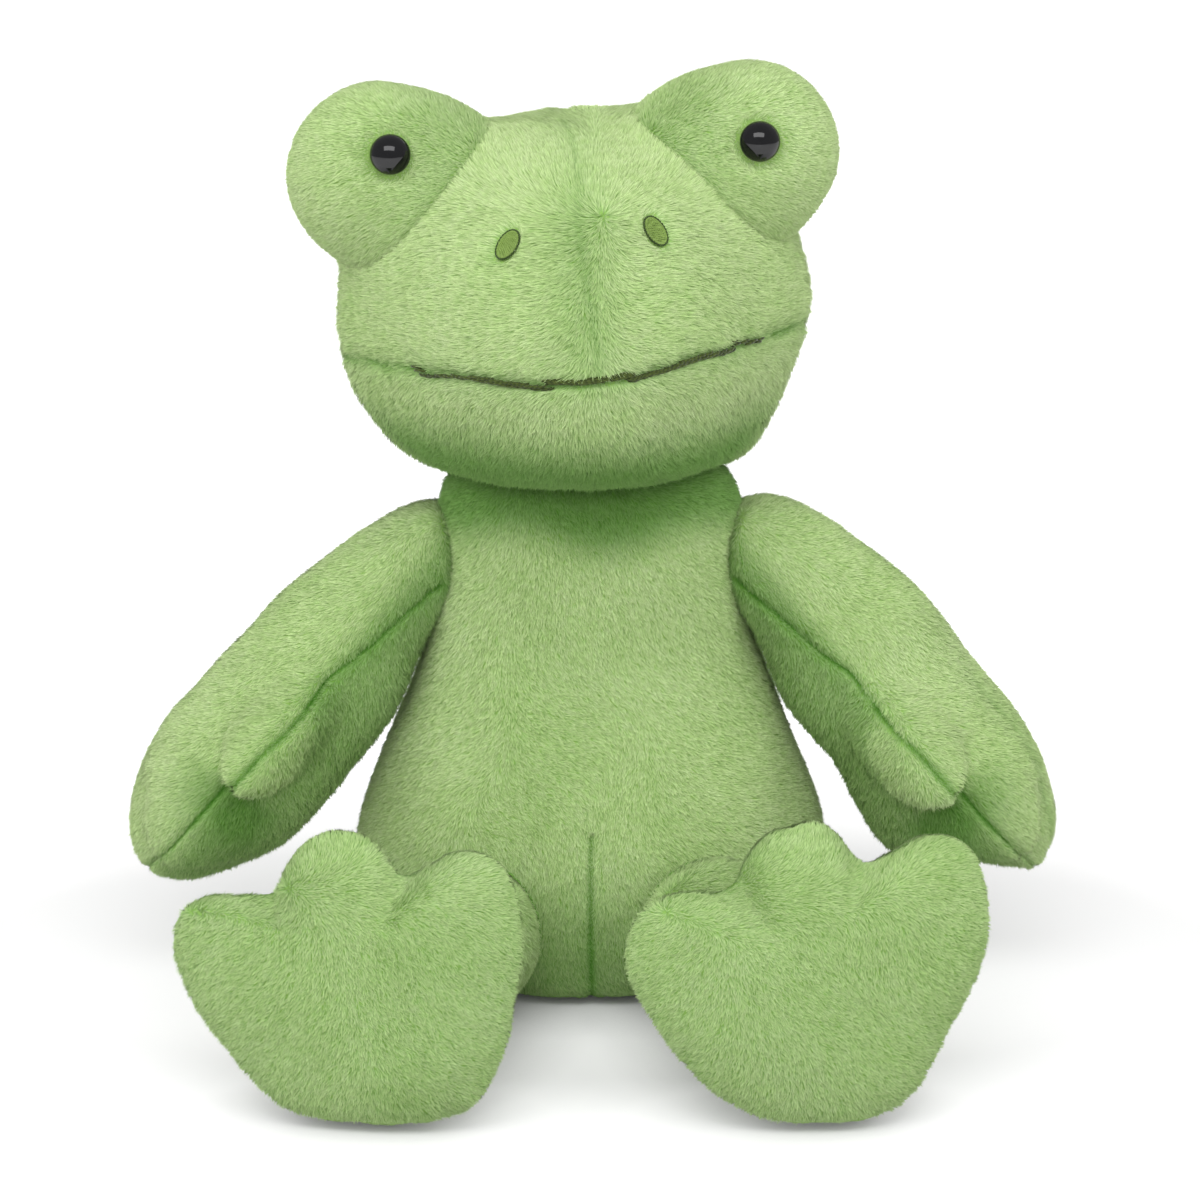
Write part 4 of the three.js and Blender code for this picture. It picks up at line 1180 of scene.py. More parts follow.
def pile_material():
    material, tree, shader = shaded("plush_pile", 0.85, 0.15, 0.2, 0.4, colour(228, 240, 196))
    tint = node(tree, "ShaderNodeGroup", node_tree=plush_tint).outputs["Colour"]
    # painted shade at the roots and painted light at the tips, and no two fibres are quite alike
    rise = attribute(tree, "rise")
    painted_root_shade = {
        channel: maths(tree, "ADD", maths(tree, "MULTIPLY", rise, gain), root)
        for channel, gain, root in (("Red", 0.62, 0.52), ("Green", 0.44, 0.7), ("Blue", 0.72, 0.46))
    }
    rooted = mixed(tree, 1.0, tint, node(tree, "ShaderNodeCombineColor", painted_root_shade).outputs[0], "MULTIPLY")
    tone = maths(tree, "ADD", maths(tree, "MULTIPLY", attribute(tree, "tone"), 0.3), 0.86)
    grey = node(tree, "ShaderNodeCombineColor", {"Red": tone, "Green": tone, "Blue": tone}).outputs[0]
    toned = mixed(tree, 1.0, rooted, grey, "MULTIPLY")
    tree.links.new(with_painted_shade(tree, toned), shader.inputs["Base Color"])
    # a fibre is no flat face: a blade seen from behind is lit as it is from the front
    seen = node(tree, "ShaderNodeNewGeometry").outputs
    facing = maths(tree, "SUBTRACT", 1.0, maths(tree, "MULTIPLY", seen["Backfacing"], 2.0))
    tree.links.new(vector_maths(tree, "SCALE", seen["Normal"], scale=facing), shader.inputs["Normal"])
    # and fibres let light through: this trace is enough for a lamp behind a blade to count
    shader.inputs["Transmission Weight"].default_value = 0.001
    front = maths(tree, "SUBTRACT", 1.0, seen["Backfacing"])
    for gloss in (shader.inputs["Specular IOR Level"], shader.inputs["Sheen Weight"]):
        tree.links.new(maths(tree, "MULTIPLY", front, gloss.default_value), gloss)
    return material


def cloth_material():
    material, tree, shader = shaded("plush_backing", 0.95, 0.1)
    # the backing's green is deeper than the pile's, partly its own colour and partly painted shade among the roots
    deep = {"Base": colour(152, 190, 102), "Pale": colour(166, 200, 118), "Deep": colour(128, 170, 82), "Clumpiness": 0.6}
    tint = node(tree, "ShaderNodeGroup", node_tree=plush_tint)
    for key, value in deep.items():
        tint.inputs[key].default_value = value
    tree.links.new(with_painted_shade(tree, tint.outputs["Colour"]), shader.inputs["Base Color"])
    knit = node(tree, "ShaderNodeTexNoise", {"Scale": 1400.0, "Detail": 2.0})
    tree.links.new(node(tree, "ShaderNodeTexCoord").outputs["Object"], knit.inputs["Vector"])
    bump = node(tree, "ShaderNodeBump", {"Height": knit.outputs["Fac"], "Strength": 0.5, "Distance": 0.0006})
    tree.links.new(bump.outputs["Normal"], shader.inputs["Normal"])
    return material


pile_finish, cloth_finish = pile_material(), cloth_material()
print("materials:", pile_finish.name, cloth_finish.name)

# %% [markdown]
# ## The pile
# Real plush has some hundreds of fibres in each square millimetre. Blender's own hair would draw
# them, but strands are lost in an export. Here one blade, a single narrow face, stands for a lock
# of fibres. Geometry Nodes scatter it over the cloth, lean it along the nap, which is a direction
# stored on the cloth, and let neighbours lean together in clumps. Each blade is lit as the cloth
# under it would be, for the most part, which is what makes a pile look soft and not like grass.

# %% One blade
def blade_object():
    made = new_object("blade", [(-0.5, 0, 0), (0, 0, 1), (0.5, 0, 0)], [(0, 1, 2)])
    put_layers(made.data, (
        ("rise", "FLOAT", [0, 1, 0]), ("map_step", "FLOAT_VECTOR", [(-0.5, 0, 0), (0, 1, 0), (0.5, 0, 0)]),
    ))
    return made


blade = blade_object()
print("blade corners:", len(blade.data.vertices))

# %% [markdown]
# ## The tree that grows it
# First the tree scatters points over the cloth, then it turns and sizes a blade on each, and last
# it makes the blades real, lights them mostly as the cloth is lit, and gives each its place on the
# colour map. A particle system could scatter as well, but it can't set how a face is lit.

# %% Pile tree: where blades stand
VECTOR = "FLOAT_VECTOR"


def named(tree, name, kind="FLOAT"):
    return node(tree, "GeometryNodeInputNamedAttribute", {"Name": name}, data_type=kind).outputs["Attribute"]


def store(tree, geometry, name, value, kind, domain="POINT"):
    inputs = {"Geometry": geometry, "Name": name, "Value": value}
    return node(tree, "GeometryNodeStoreNamedAttribute", inputs, data_type=kind, domain=domain).outputs["Geometry"]


def chance(tree, given, low, high, seed, kind="FLOAT"):
    made = node(tree, "FunctionNodeRandomValue", data_type=kind)
    low_at, high_at = (2, 3) if kind == "FLOAT" else (0, 1)
    made.inputs[low_at].default_value, made.inputs[high_at].default_value = low, high
    tree.links.new(maths(tree, "ADD", given["Seed"], float(seed)), made.inputs["Seed"])
    return made.outputs[1 if kind == "FLOAT" else 0]


def scattered(tree, given):
    density = maths(tree, "MULTIPLY", given["Density"], maths(tree, "GREATER_THAN", named(tree, "grown"), 0.05))
    scatter = node(tree, "GeometryNodeDistributePointsOnFaces",
                   {"Mesh": given["Geometry"], "Density": density, "Seed": given["Seed"]})
    points = store(tree, scatter.outputs["Points"], "cloth_normal", scatter.outputs["Normal"], VECTOR)
    return store(tree, points, "tone", chance(tree, given, 0.0, 1.0, 11), "FLOAT")


print("layers read by the pile:", ["grown", "nap", "ruffle", "map_place"])

# %% Pile tree: how a blade leans
def blade_turn(tree, given):
    normal, lean, ruffle = named(tree, "cloth_normal", VECTOR), given["Lean"], named(tree, "ruffle")
    upright = vector_maths(tree, "SCALE", normal, scale=maths(tree, "COSINE", lean))
    combed = vector_maths(tree, "SCALE", named(tree, "nap", VECTOR), scale=maths(tree, "SINE", lean))
    noise = node(tree, "ShaderNodeTexNoise", {"Scale": given["Clump Scale"], "Detail": 2.0})
    clump = vector_maths(tree, "SUBTRACT", noise.outputs["Color"], (0.5, 0.5, 0.5))
    clump = vector_maths(tree, "SCALE", clump, scale=maths(tree, "MULTIPLY", given["Clump Lean"], ruffle))
    stray = chance(tree, given, (-1, -1, -1), (1, 1, 1), 23, VECTOR)
    stray = vector_maths(tree, "SCALE", stray, scale=maths(tree, "MULTIPLY", given["Wildness"], ruffle))
    way = vector_maths(tree, "ADD", vector_maths(tree, "ADD", upright, combed), vector_maths(tree, "ADD", clump, stray))
    twist = vector_maths(tree, "SCALE", chance(tree, given, (-1, -1, -1), (1, 1, 1), 31, VECTOR), scale=0.35)
    axes = {"Primary Axis": way, "Secondary Axis": vector_maths(tree, "ADD", normal, twist)}
    return node(tree, "FunctionNodeAxesToRotation", axes, primary_axis="Z", secondary_axis="Y").outputs["Rotation"]


def blade_size(tree, given):
    width = maths(tree, "MULTIPLY", given["Width"], chance(tree, given, 0.7, 1.3, 41))
    length = maths(tree, "MULTIPLY", given["Length"], named(tree, "grown"))
    length = maths(tree, "MULTIPLY", length, chance(tree, given, 0.7, 1.15, 43))
    return node(tree, "ShaderNodeCombineXYZ", {"X": width, "Y": 1.0, "Z": length}).outputs[0]


print("a blade's width varies by 30% and its length by 15 to 30%")

# %% Pile tree: real and lit blades
def lit_blades(tree, given, blades):
    """Each blade's place on the colour map, and a normal that lies between its own and the cloth's."""
    step = vector_maths(tree, "SCALE", named(tree, "map_step", VECTOR), scale=given["Map Step"])
    place = vector_maths(tree, "ADD", named(tree, "map_place", VECTOR), step)
    blades = store(tree, blades, "OFBake", place, "FLOAT2", "CORNER")
    soft = node(tree, "ShaderNodeMix", {0: given["Softness"]}, data_type="VECTOR")
    tree.links.new(node(tree, "GeometryNodeInputNormal").outputs["True Normal"], soft.inputs[4])
    tree.links.new(named(tree, "cloth_normal", VECTOR), soft.inputs[5])
    facing = vector_maths(tree, "NORMALIZE", soft.outputs[1])
    lit = node(tree, "GeometryNodeSetMeshNormal", mode="FREE", domain="CORNER")
    tree.links.new(blades, lit.inputs["Mesh"])
    tree.links.new(facing, lit.inputs["Custom Normal"])
    return lit.outputs["Mesh"]


def real_copies(tree, points, thing, turn, size):
    """A real copy of the given object on each point."""
    shape = node(tree, "GeometryNodeObjectInfo", {"Object": thing}).outputs["Geometry"]
    inputs = {"Points": points, "Instance": shape, "Rotation": turn, "Scale": size}
    placed = node(tree, "GeometryNodeInstanceOnPoints", inputs).outputs["Instances"]
    return node(tree, "GeometryNodeRealizeInstances", {"Geometry": placed}).outputs["Geometry"]


def dress(tree, geometry, given):
    dressed = node(tree, "GeometryNodeSetMaterial", {"Geometry": geometry, "Material": given["Material"]})
    tree.links.new(dressed.outputs["Geometry"], node(tree, "NodeGroupOutput").inputs["Geometry"])


def pile_tree():
    tree = bpy.data.node_groups.new("pile", "GeometryNodeTree")
    tree.interface.new_socket("Geometry", in_out="OUTPUT", socket_type="NodeSocketGeometry")
    given = new_inputs(tree, (
        ("Geometry", "Geometry", None), ("Blade", "Object", None), ("Density", "Float", 5.4e6),
        ("Length", "Float", 0.0031), ("Width", "Float", 0.00046), ("Lean", "Float", 1.14), ("Clump Scale", "Float", 330.0),
        ("Clump Lean", "Float", 1.5), ("Wildness", "Float", 0.3), ("Softness", "Float", 0.64), ("Map Step", "Float", 0.006),
        ("Seed", "Int", 1), ("Material", "Material", None),
    ))
    points = scattered(tree, given)
    blades = real_copies(tree, points, given["Blade"], blade_turn(tree, given), blade_size(tree, given))
    dress(tree, lit_blades(tree, given, blades), given)
    return tree


pile_nodes = pile_tree()
print("pile tree:", len(pile_nodes.nodes), "nodes")

# %% [markdown]
# ## Which way the pile lies
# Stroking leaves the pile lying outwards over the face, down the chin and back, and sideways on
# the belly and soles. Fibres part at a seam and round anything sewn on. Combing real hair strands
# would give this too, but not the same way twice. So each cover's points get a direction, a length
# and a ruffle, and where something is sewn on, the length is nothing.

# %% Places kept clear of pile
clearings = []


def clear_round(centre, normal, long_way, half_long, half_wide, body):
    """Keeps the pile off an oval patch and parts it round the edge."""
    normal = normal / np.linalg.norm(normal)
    long_way = long_way - normal * (long_way @ normal)
    long_way /= np.linalg.norm(long_way)
    clearings.append((centre, long_way / half_long, np.cross(normal, long_way) / half_wide, normal / 12, body))


def oval_reach(points, clearing):
    centre, along, across, deep, _ = clearing
    gap = points - centre
    return np.sqrt((gap @ along) ** 2 + (gap @ across) ** 2 + np.maximum(abs(gap @ deep) - 0.5, 0) ** 2)


clear = {}
for side, at in sides.items():
    place, look = eyes[side]
    clear_round(place - look * 3, look, np.array([0, 0, 1.0]), 6.2, 6.2, "head")
    normal = np.array([at["mirror"] * 0.18, -1, 0.42])
    tilt = math.radians({"left": 27, "right": -25}[side])
    long_way = np.array([-math.sin(tilt), 0, math.cos(tilt)])
    clear[side] = (nostrils[side], normal / np.linalg.norm(normal), long_way)
    clear_round(nostrils[side], normal, long_way, 5.3, 3.1, "head")
print("clearings:", len(clearings))

# %% Nap, length and ruffle
def tangent(field, normals):
    field = field - normals * (field * normals).sum(1)[:, None]
    return field / np.maximum(np.linalg.norm(field, axis=1), 1e-6)[:, None]


def tree_of(name):
    mesh = skins[name]["skin"].data
    return tree_over([v.co[:] for v in mesh.vertices], mesh.polygons)


def buried(points, name, deep):
    """Which points, in millimetres, lie further than deep inside another cover."""
    tree = tree_of(name)
    found = np.zeros(len(points), bool)
    for i, point in enumerate(points * MM):
        place, normal, _, _ = tree.find_nearest(Vector(point))
        found[i] = (Vector(point) - place).dot(normal) < -deep * MM
    return found


def comb(name, nap, ruffle=None, inside=(), deeper=None):
    """Gives every point of a cover its nap, length and ruffle."""
    at = skins[name]
    points, normals = points_of(at["skin"]) / MM, normals_of(at["skin"])
    off, nearest = distance_to(points, at["seams"], with_nearest=True)
    away = tangent(points - nearest, normals)
    lie = tangent(nap(points, normals), normals) + 0.9 * away * np.exp(-((off / 2.5) ** 2))[:, None]
    length = 1 - 0.25 * np.exp(-((at["off"] / 2) ** 2)) - 0.4 * np.exp(-((at["off"] / 0.7) ** 2))
    # the pile under the seat and the feet is pressed flat
    length *= np.where((normals[:, 2] < -0.3) & (points[:, 2] < 5), 0.25, 1)
    for clearing in clearings:
        if clearing[4] == at["body"]:
            reach = oval_reach(points, clearing)
            outwards = tangent(points - clearing[0], normals)
            lie += 1.6 * outwards * np.exp(-(((reach - 1) / 0.55) ** 2))[:, None]
            length *= np.clip((reach - 1) / 0.25, 0, 1) * (1 - 0.25 * np.exp(-(((reach - 1) / 0.5) ** 2)))
    for other, deep in inside:
        length *= ~buried(points, other, deep)
    at.update(nap=tangent(lie, normals), length=length)
    at["ruffle"] = np.ones(len(points)) if ruffle is None else ruffle(points, normals)
    # painted shade where little light reaches, added to the painted shade of the seams
    if deeper is not None:
        at["shade"] = np.clip(at["shade"] + deeper(points, normals), 0, 1)
    put_layers(at["skin"].data, [("seam_shade", "FLOAT", at["shade"])])
    print(f"{name}: {np.mean(length < 0.05):.0%} bare")


print("covers to comb:", len(skins))

# %% Directions of the pile
def field(across, along, up):
    """A direction at each point, from its parts along X, Y and Z, any of which may be one number for all."""
    return np.stack(np.broadcast_arrays(across, along, up), 1)


def face_nap(points, normals):
    # outwards from the middle on the muzzle, up and back on the forehead, downwards on the chin
    x, z = points[:, 0] - 2, points[:, 2]
    chin, brow = softly(-z, -222, -205), softly(z, 262, 285)
    outwards = np.tanh(x / 14)
    sinking = -0.12 - 0.7 * (1 - abs(outwards)) + 0.3 * waves(points, 40, 5)
    sideways = field(outwards + 0.25 * waves(points, 40, 4), 0.2, sinking)
    downwards = field(0.55 * outwards + 0.35 * waves(points, 30, 6), 0.2, -1.0)
    upwards = field(0.35 * outwards, 1.0, 0.5)
    face = (sideways * (1 - chin)[:, None] + downwards * chin[:, None]) * (1 - brow)[:, None] + upwards * brow[:, None]
    # over the crown the pile lies to both sides, and round the sides and the back it hangs
    crown = softly(normals[:, 2], 0.55, 0.95)[:, None]
    hanging = field(0.3 * waves(points, 36, 3), 0.25 * waves(points, 40, 7), -1.0)
    parted = field(1.2 * np.tanh(x / 4), 0.15, -0.3)
    behind = hanging * (1 - crown) + parted * crown
    turned_over = softly(normals[:, 1], -0.45, 0.05)[:, None]
    return face * (1 - turned_over) + behind * turned_over


def backwards(normals):
    # round every side the pile lies towards the middle of the side, on which a hand strokes it flat
    return 0.45 * np.tanh(-6 * normals[:, 1])


def outer_side(across, near, far):
    """From -1 at one edge to 1 at the other, and 0 in a wide middle."""
    return softly(across, near, far) - softly(-across, near, far)


def belly_nap(points, normals):
    side = outer_side(points[:, 0] + 4, 18, 60)
    return field(0.25 + 0.7 * side + 0.4 * waves(points, 50, 8), backwards(normals), -0.7 + 0.5 * waves(points, 44, 9))


def limb_nap(points, normals):
    x = np.sign(points[:, 0])
    along = backwards(normals) + 0.25 * waves(points, 40, 7)
    return field(0.55 * x + 0.35 * waves(points, 36, 3), along, -0.75 + 0.3 * waves(points, 36, 6))


def mound_nap(points, normals):
    x = np.sign(points[:, 0])
    return field(0.8 * x + 0.25 * waves(points, 36, 3), 0.25 + backwards(normals), -0.35 + 0.3 * waves(points, 36, 6))


def foot_nap(points, normals):
    # downwards on the sole, sideways across the ball of the foot and upwards over the toes
    toes = softly(points[:, 2], 60, 92)
    turning = 4 * toes * (1 - toes)
    side = outer_side(points[:, 0] - points[:, 0].mean(), 14, 48) * (1 - turning)
    across = 0.25 + 0.8 * side + 0.6 * turning + 0.4 * waves(points, 60, 3)
    return field(across, backwards(normals), -0.7 + 1.25 * toes + 0.3 * waves(points, 50, 6))


print("pile on a belly that faces forwards lies along", belly_nap(np.zeros((1, 3)), np.array([[0, -1.0, 0]])).round(2))

# %% [markdown]
# ## Where shade is painted
# Light hardly reaches the crotch, the crease under the chin and the inner panel of an arm, so shade
# is painted there, and also under the thumb, down the middle of the muzzle and the belly, and on
# the side of each mound that faces the middle of the head. Its depth is stored on the points, as
# at the seams. It could be left to the lamps, but a blade this wide lets in more light than a
# fibre does.

# %% Depth of colour
def face_shade(points, normals):
    # painted shade under the chin and down the middle of the muzzle
    x, z = points[:, 0], points[:, 2]
    middle = 0.15 * np.exp(-(((x + 4) / 9) ** 2)) * softly(z, 212, 235) * (1 - softly(z, 262, 285))
    return 0.78 * softly(-z, -209, -186) * softly(-points[:, 1], 0, 30) + middle


def belly_shade(points, normals):
    # painted shade in the crotch, under the chin and a little down the middle of the belly
    x, y, z = points.T
    middle = 0.05 * np.exp(-(((x + 10) / 15) ** 2)) * softly(z, 50, 85) * (1 - softly(z, 120, 140))
    return (0.46 * softly(-z, -58, -12) + middle) * softly(-y, 10, 40) + 0.8 * softly(z + 3 * np.sin(x / 9 + 1), 148, 166)


# painted shade on the side of each mound that faces the middle of the head
def mound_shade(side):
    centre = moved(mound_frame(side)[2], head_turn, neck_pivot)
    return lambda p, n: 0.2 * softly((centre[0] - p[:, 0]) * sides[side]["mirror"], -2, 22) * softly(-p[:, 1], 10, 30)


def arm_shade(side):
    """Painted shade on the inner panel and under the thumb, and little of it on the thumb itself."""
    centre, half, low = thumbs[side]

    def shade(points, normals):
        x, y, along = (in_arm(points, side) * [1, 1, -1]).T
        knob = softly(-y, 31, 36)
        under = np.exp(-(((x - centre) / (half + 2)) ** 4)) * softly(-y, 4, 14) * softly(along, low - 15, low - 7)
        under *= np.exp(-np.maximum(along - low, 0) / 9) * (1 - knob)
        return np.clip(0.46 * softly(-x, -1, 9) * (1 - 0.9 * knob) + 0.45 * under, 0, 0.8)

    return shade


print("shade in the crotch:", belly_shade(np.array([[0, -40.0, 10]]), None).round(2))

# %% Comb the covers
comb("torso_skin", belly_nap, inside=[("head_skin", 9)], deeper=belly_shade)
comb("head_skin", face_nap, lambda p, n: 1 - 0.75 * softly(p[:, 2], 242, 270),
     inside=[("left_mound_skin", 3.5), ("right_mound_skin", 3.5), ("torso_skin", 9)], deeper=face_shade)
for side in sides:
    comb(f"{side}_mound_skin", mound_nap, lambda p, n: 0.62 - 0.25 * softly(p[:, 2], 290, 305),
         inside=[("head_skin", 3.5)], deeper=mound_shade(side))
    comb(f"{side}_arm_skin", limb_nap, lambda p, n, s=side: 0.75 + 0.5 * softly(-in_arm(p, s)[:, 0], 0, 10),
         deeper=arm_shade(side))
    comb(f"{side}_leg_skin", limb_nap, deeper=lambda p, n: 0.12)
    comb(f"{side}_foot_skin", foot_nap, lambda p, n: 1.35 - 1.0 * softly(p[:, 2], 58, 88), deeper=lambda p, n: 0.2)

# %% [markdown]
# ## Growing the pile
# The pile of a cover grows in one or a few panels, each from a seed of its own, so that one panel
# can be grown again without changing the others. The directions are only needed while it grows.

# %% Grow the pile
def grown_by(tree, name, holder, values, passing):
    """The piece that a tree makes of a holder, without the holder and the layers that only the tree needed."""
    modifier = holder.modifiers.new(tree.name, "NODES")
    modifier.node_group = tree
    sockets = {s.name: s.identifier for s in tree.interface.items_tree if s.in_out == "INPUT"}
    for key, value in values.items():
        modifier[sockets[key]] = value
    mesh = bpy.data.meshes.new_from_object(holder.evaluated_get(bpy.context.evaluated_depsgraph_get()))
    bpy.data.objects.remove(holder)
    for label in passing:
        if label in mesh.attributes:
            mesh.attributes.remove(mesh.attributes[label])
    made = bpy.data.objects.new(name, mesh)
    mesh.name = name
    bpy.context.scene.collection.objects.link(made)
    return made


def grow(name, skin_name, chosen, seed, **sizes):
    """The pile of one panel: the tree grows blades on a copy of the chosen faces of a cover."""
    at = skins[skin_name]
    points = points_of(at["skin"])
    # a triangle is written as a quad that ends with its last corner twice
    faces = np.array([[*p.vertices, p.vertices[-1]][:4] for p in at["skin"].data.polygons])
    faces = faces[chosen(points[faces].mean(1) / MM)]
    used, index = np.unique(faces, return_inverse=True)
    quads = [tuple(dict.fromkeys(face)) for face in index.reshape(faces.shape).tolist()]
    panel = new_object(name + "_panel", points[used], quads)
    flat = (points[used] - points[used].min(0)) / np.maximum(np.ptp(points[used], axis=0), 1e-6)
    place = field(flat[:, 0], flat[:, 2], 0.0) * 0.97 + 0.015
    put_layers(panel.data, (
        ("nap", VECTOR, at["nap"][used]), ("grown", "FLOAT", at["length"][used]), ("ruffle", "FLOAT", at["ruffle"][used]),
        ("map_place", VECTOR, place), ("seam_shade", "FLOAT", at["shade"][used]),
    ))
    values = {"Blade": blade, "Material": pile_finish, "Seed": seed, **sizes}
    made = grown_by(pile_nodes, name, panel, values, ("nap", "grown", "map_place", "cloth_normal", "map_step", "ruffle"))
    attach(made, at["body"])
    print(f"{name}: {len(made.data.polygons)} blades")


def between(front, back):
    """Chooses the faces whose middle lies between two depths, in millimetres."""
    return lambda c: (c[:, 1] >= front) & (c[:, 1] < back)


everywhere = between(-math.inf, math.inf)
short = {"Length": 0.0023, "Width": 0.00044, "Clump Scale": 430.0, "Density": 5.8e6}
grow("torso_front_pile", "torso_skin", between(-math.inf, -14), 1, **short)
grow("torso_sides_pile", "torso_skin", between(-14, 14), 2, **short)
grow("torso_back_pile", "torso_skin", between(14, math.inf), 3, **short)
grow("head_face_pile", "head_skin", between(-math.inf, -28), 4)
grow("head_back_pile", "head_skin", between(-28, math.inf), 5)
for number, side in enumerate(sides):
    grow(f"{side}_mound_pile", f"{side}_mound_skin", everywhere, 10 + number, Length=0.0025)
    grow(f"{side}_arm_pile", f"{side}_arm_skin", everywhere, 20 + number, **{"Length": 0.0024, "Clump Scale": 400.0})
    grow(f"{side}_leg_pile", f"{side}_leg_skin", everywhere, 30 + number, **short)
    grow(f"{side}_foot_pile", f"{side}_foot_skin", everywhere, 40 + number, **short)
bpy.data.objects.remove(blade)

# %% [markdown]
# ## Safety eyes
# The eyes are moulded in black plastic and polished: a low dome whose ribbed stem goes through the
# cloth into a lock washer inside. Each is turned from one profile, as a lathe would cut its mould.
# A plain sphere would show too much of its side. The dome mirrors the soft box as a small window.

# %% Eyes
def lathe(name, profile, place, way, sides_round=72):
    """A form turned round the way it looks, from rows of height and radius in millimetres."""
    profile = np.array(profile, float)
    angles = np.linspace(0, 2 * np.pi, sides_round, endpoint=False)
    heights, radii = np.broadcast_to(profile[:, :1], (len(profile), sides_round)), profile[:, 1:]
    grid = np.stack([radii * np.cos(angles), radii * np.sin(angles), heights], -1)
    turn = np.array(Vector(way.tolist()).to_track_quat("Z", "Y").to_matrix())
    return ring_skin(name, grid @ turn.T + place)


def eye_material():
    material, tree, shader = shaded("eye_black_plastic", 0.06, 0.45)
    where = node(tree, "ShaderNodeTexCoord").outputs["Object"]
    cloudy = node(tree, "ShaderNodeTexNoise", {"Vector": where, "Scale": 260.0, "Detail": 4.0}).outputs["Fac"]
    tree.links.new(mixed(tree, cloudy, (0.002, 0.002, 0.003, 1), (0.008, 0.008, 0.009, 1)), shader.inputs["Base Color"])
    # fine handling marks dull the polish here and there
    marks = node(tree, "ShaderNodeTexNoise", {"Vector": where, "Scale": 900.0, "Detail": 2.0}).outputs["Fac"]
    limits = {"From Min": 0.35, "From Max": 0.75, "To Min": 0.045, "To Max": 0.1}
    rough = node(tree, "ShaderNodeMapRange", {"Value": marks, **limits})
    tree.links.new(rough.outputs["Result"], shader.inputs["Roughness"])
    return material


EYE_RADIUS, EYE_RISE = 6.5, 4.6
eye_black = eye_material()
for side, (place, look) in eyes.items():
    ball = (EYE_RADIUS**2 + EYE_RISE**2) / (2 * EYE_RISE)
    spread = math.asin(EYE_RADIUS / ball)
    dome = [(EYE_RISE - ball + ball * math.cos(a), ball * math.sin(a)) for a in np.linspace(spread, 0, 26)]
    rim = [(-0.5 + 0.5 * math.sin(a), EYE_RADIUS - 0.35 + 0.35 * math.cos(a)) for a in np.linspace(-math.pi / 2, 0, 6)]
    stem = [(-14, 0), (-14, 1.2), (-13.4, 1.9)]
    for rib in range(5):
        stem += [(-12.4 + 2 * rib, 2.0), (-12 + 2 * rib, 1.6), (-11.4 + 2 * rib, 1.6)]
    made = lathe(f"{side}_eye_dome", [*stem, (-1.2, 2.0), (-1.1, EYE_RADIUS - 1), *rim, *dome[1:]], place - look * 1.0, look)
    made.data.materials.append(eye_black)
    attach(made, "head")
    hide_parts(f"{side}_eye")
    print(made.name, "has", len(made.data.polygons), "faces")

# %% [markdown]
# ## Thread
# The nostrils and the mouth are embroidered. A single stitch is a short length of twisted thread
# that dives into the cloth at both ends. Curves with a bevel could draw them one by one, but an
# embroidery machine lays hundreds, so Geometry Nodes lays one stitch on points that carry its
# direction and length.

# %% One stitch
def stitch_object():
    # the thread arches from one hole to the other; how far along and round it a point is makes the twist
    rings, around = 9, 8
    vertices = []
    for i in range(rings):
        t = i / (rings - 1)
        thick = 0.5 * math.sin(math.pi * (0.08 + 0.84 * t)) ** 0.35
        rise = 0.9 * math.sin(math.pi * t) ** 0.6 - 0.45
        for j in range(around):
            angle = 2 * math.pi * j / around
            vertices.append((t - 0.5, thick * math.cos(angle), rise + thick * math.sin(angle)))
    faces = []
    for i in range(rings - 1):
        for j in range(around):
            a, b = i * around + j, i * around + (j + 1) % around
            faces.append((a, b, b + around, a + around))
    faces += [tuple(range(around))[::-1], tuple(range((rings - 1) * around, rings * around))]
    made = new_object("stitch", vertices, faces)
    put_layers(made.data, (
        ("along", "FLOAT", [v[0] + 0.5 for v in vertices]),
        ("round", "FLOAT", [math.sin(2 * math.pi * (i % around) / around) for i in range(len(vertices))]),
    ))
    return made


def stitch_tree():
    tree = bpy.data.node_groups.new("stitches", "GeometryNodeTree")
    tree.interface.new_socket("Geometry", in_out="OUTPUT", socket_type="NodeSocketGeometry")
    given = new_inputs(tree, (
        ("Geometry", "Geometry", None), ("Stitch", "Object", None), ("Thickness", "Float", 0.0005),
        ("Unevenness", "Float", 0.15), ("Seed", "Int", 1), ("Material", "Material", None),
    ))
    tone = node(tree, "FunctionNodeRandomValue", {"Seed": given["Seed"]}, data_type="FLOAT").outputs[1]
    points = store(tree, given["Geometry"], "tone", tone, "FLOAT")
    off = maths(tree, "MULTIPLY", maths(tree, "SUBTRACT", named(tree, "tone"), 0.5), given["Unevenness"])
    uneven = maths(tree, "ADD", off, 1.0)
    thick = maths(tree, "MULTIPLY", given["Thickness"], uneven)
    span = maths(tree, "MULTIPLY", named(tree, "span"), uneven)
    size = node(tree, "ShaderNodeCombineXYZ", {"X": span, "Y": thick, "Z": thick}).outputs[0]
    axes = {"Primary Axis": named(tree, "way", VECTOR), "Secondary Axis": named(tree, "out", VECTOR)}
    turn = node(tree, "FunctionNodeAxesToRotation", axes, primary_axis="X", secondary_axis="Z").outputs["Rotation"]
    dress(tree, real_copies(tree, points, given["Stitch"], turn, size), given)
    return tree


stitch, stitch_nodes = stitch_object(), stitch_tree()
print("one stitch:", len(stitch.data.vertices), "points")

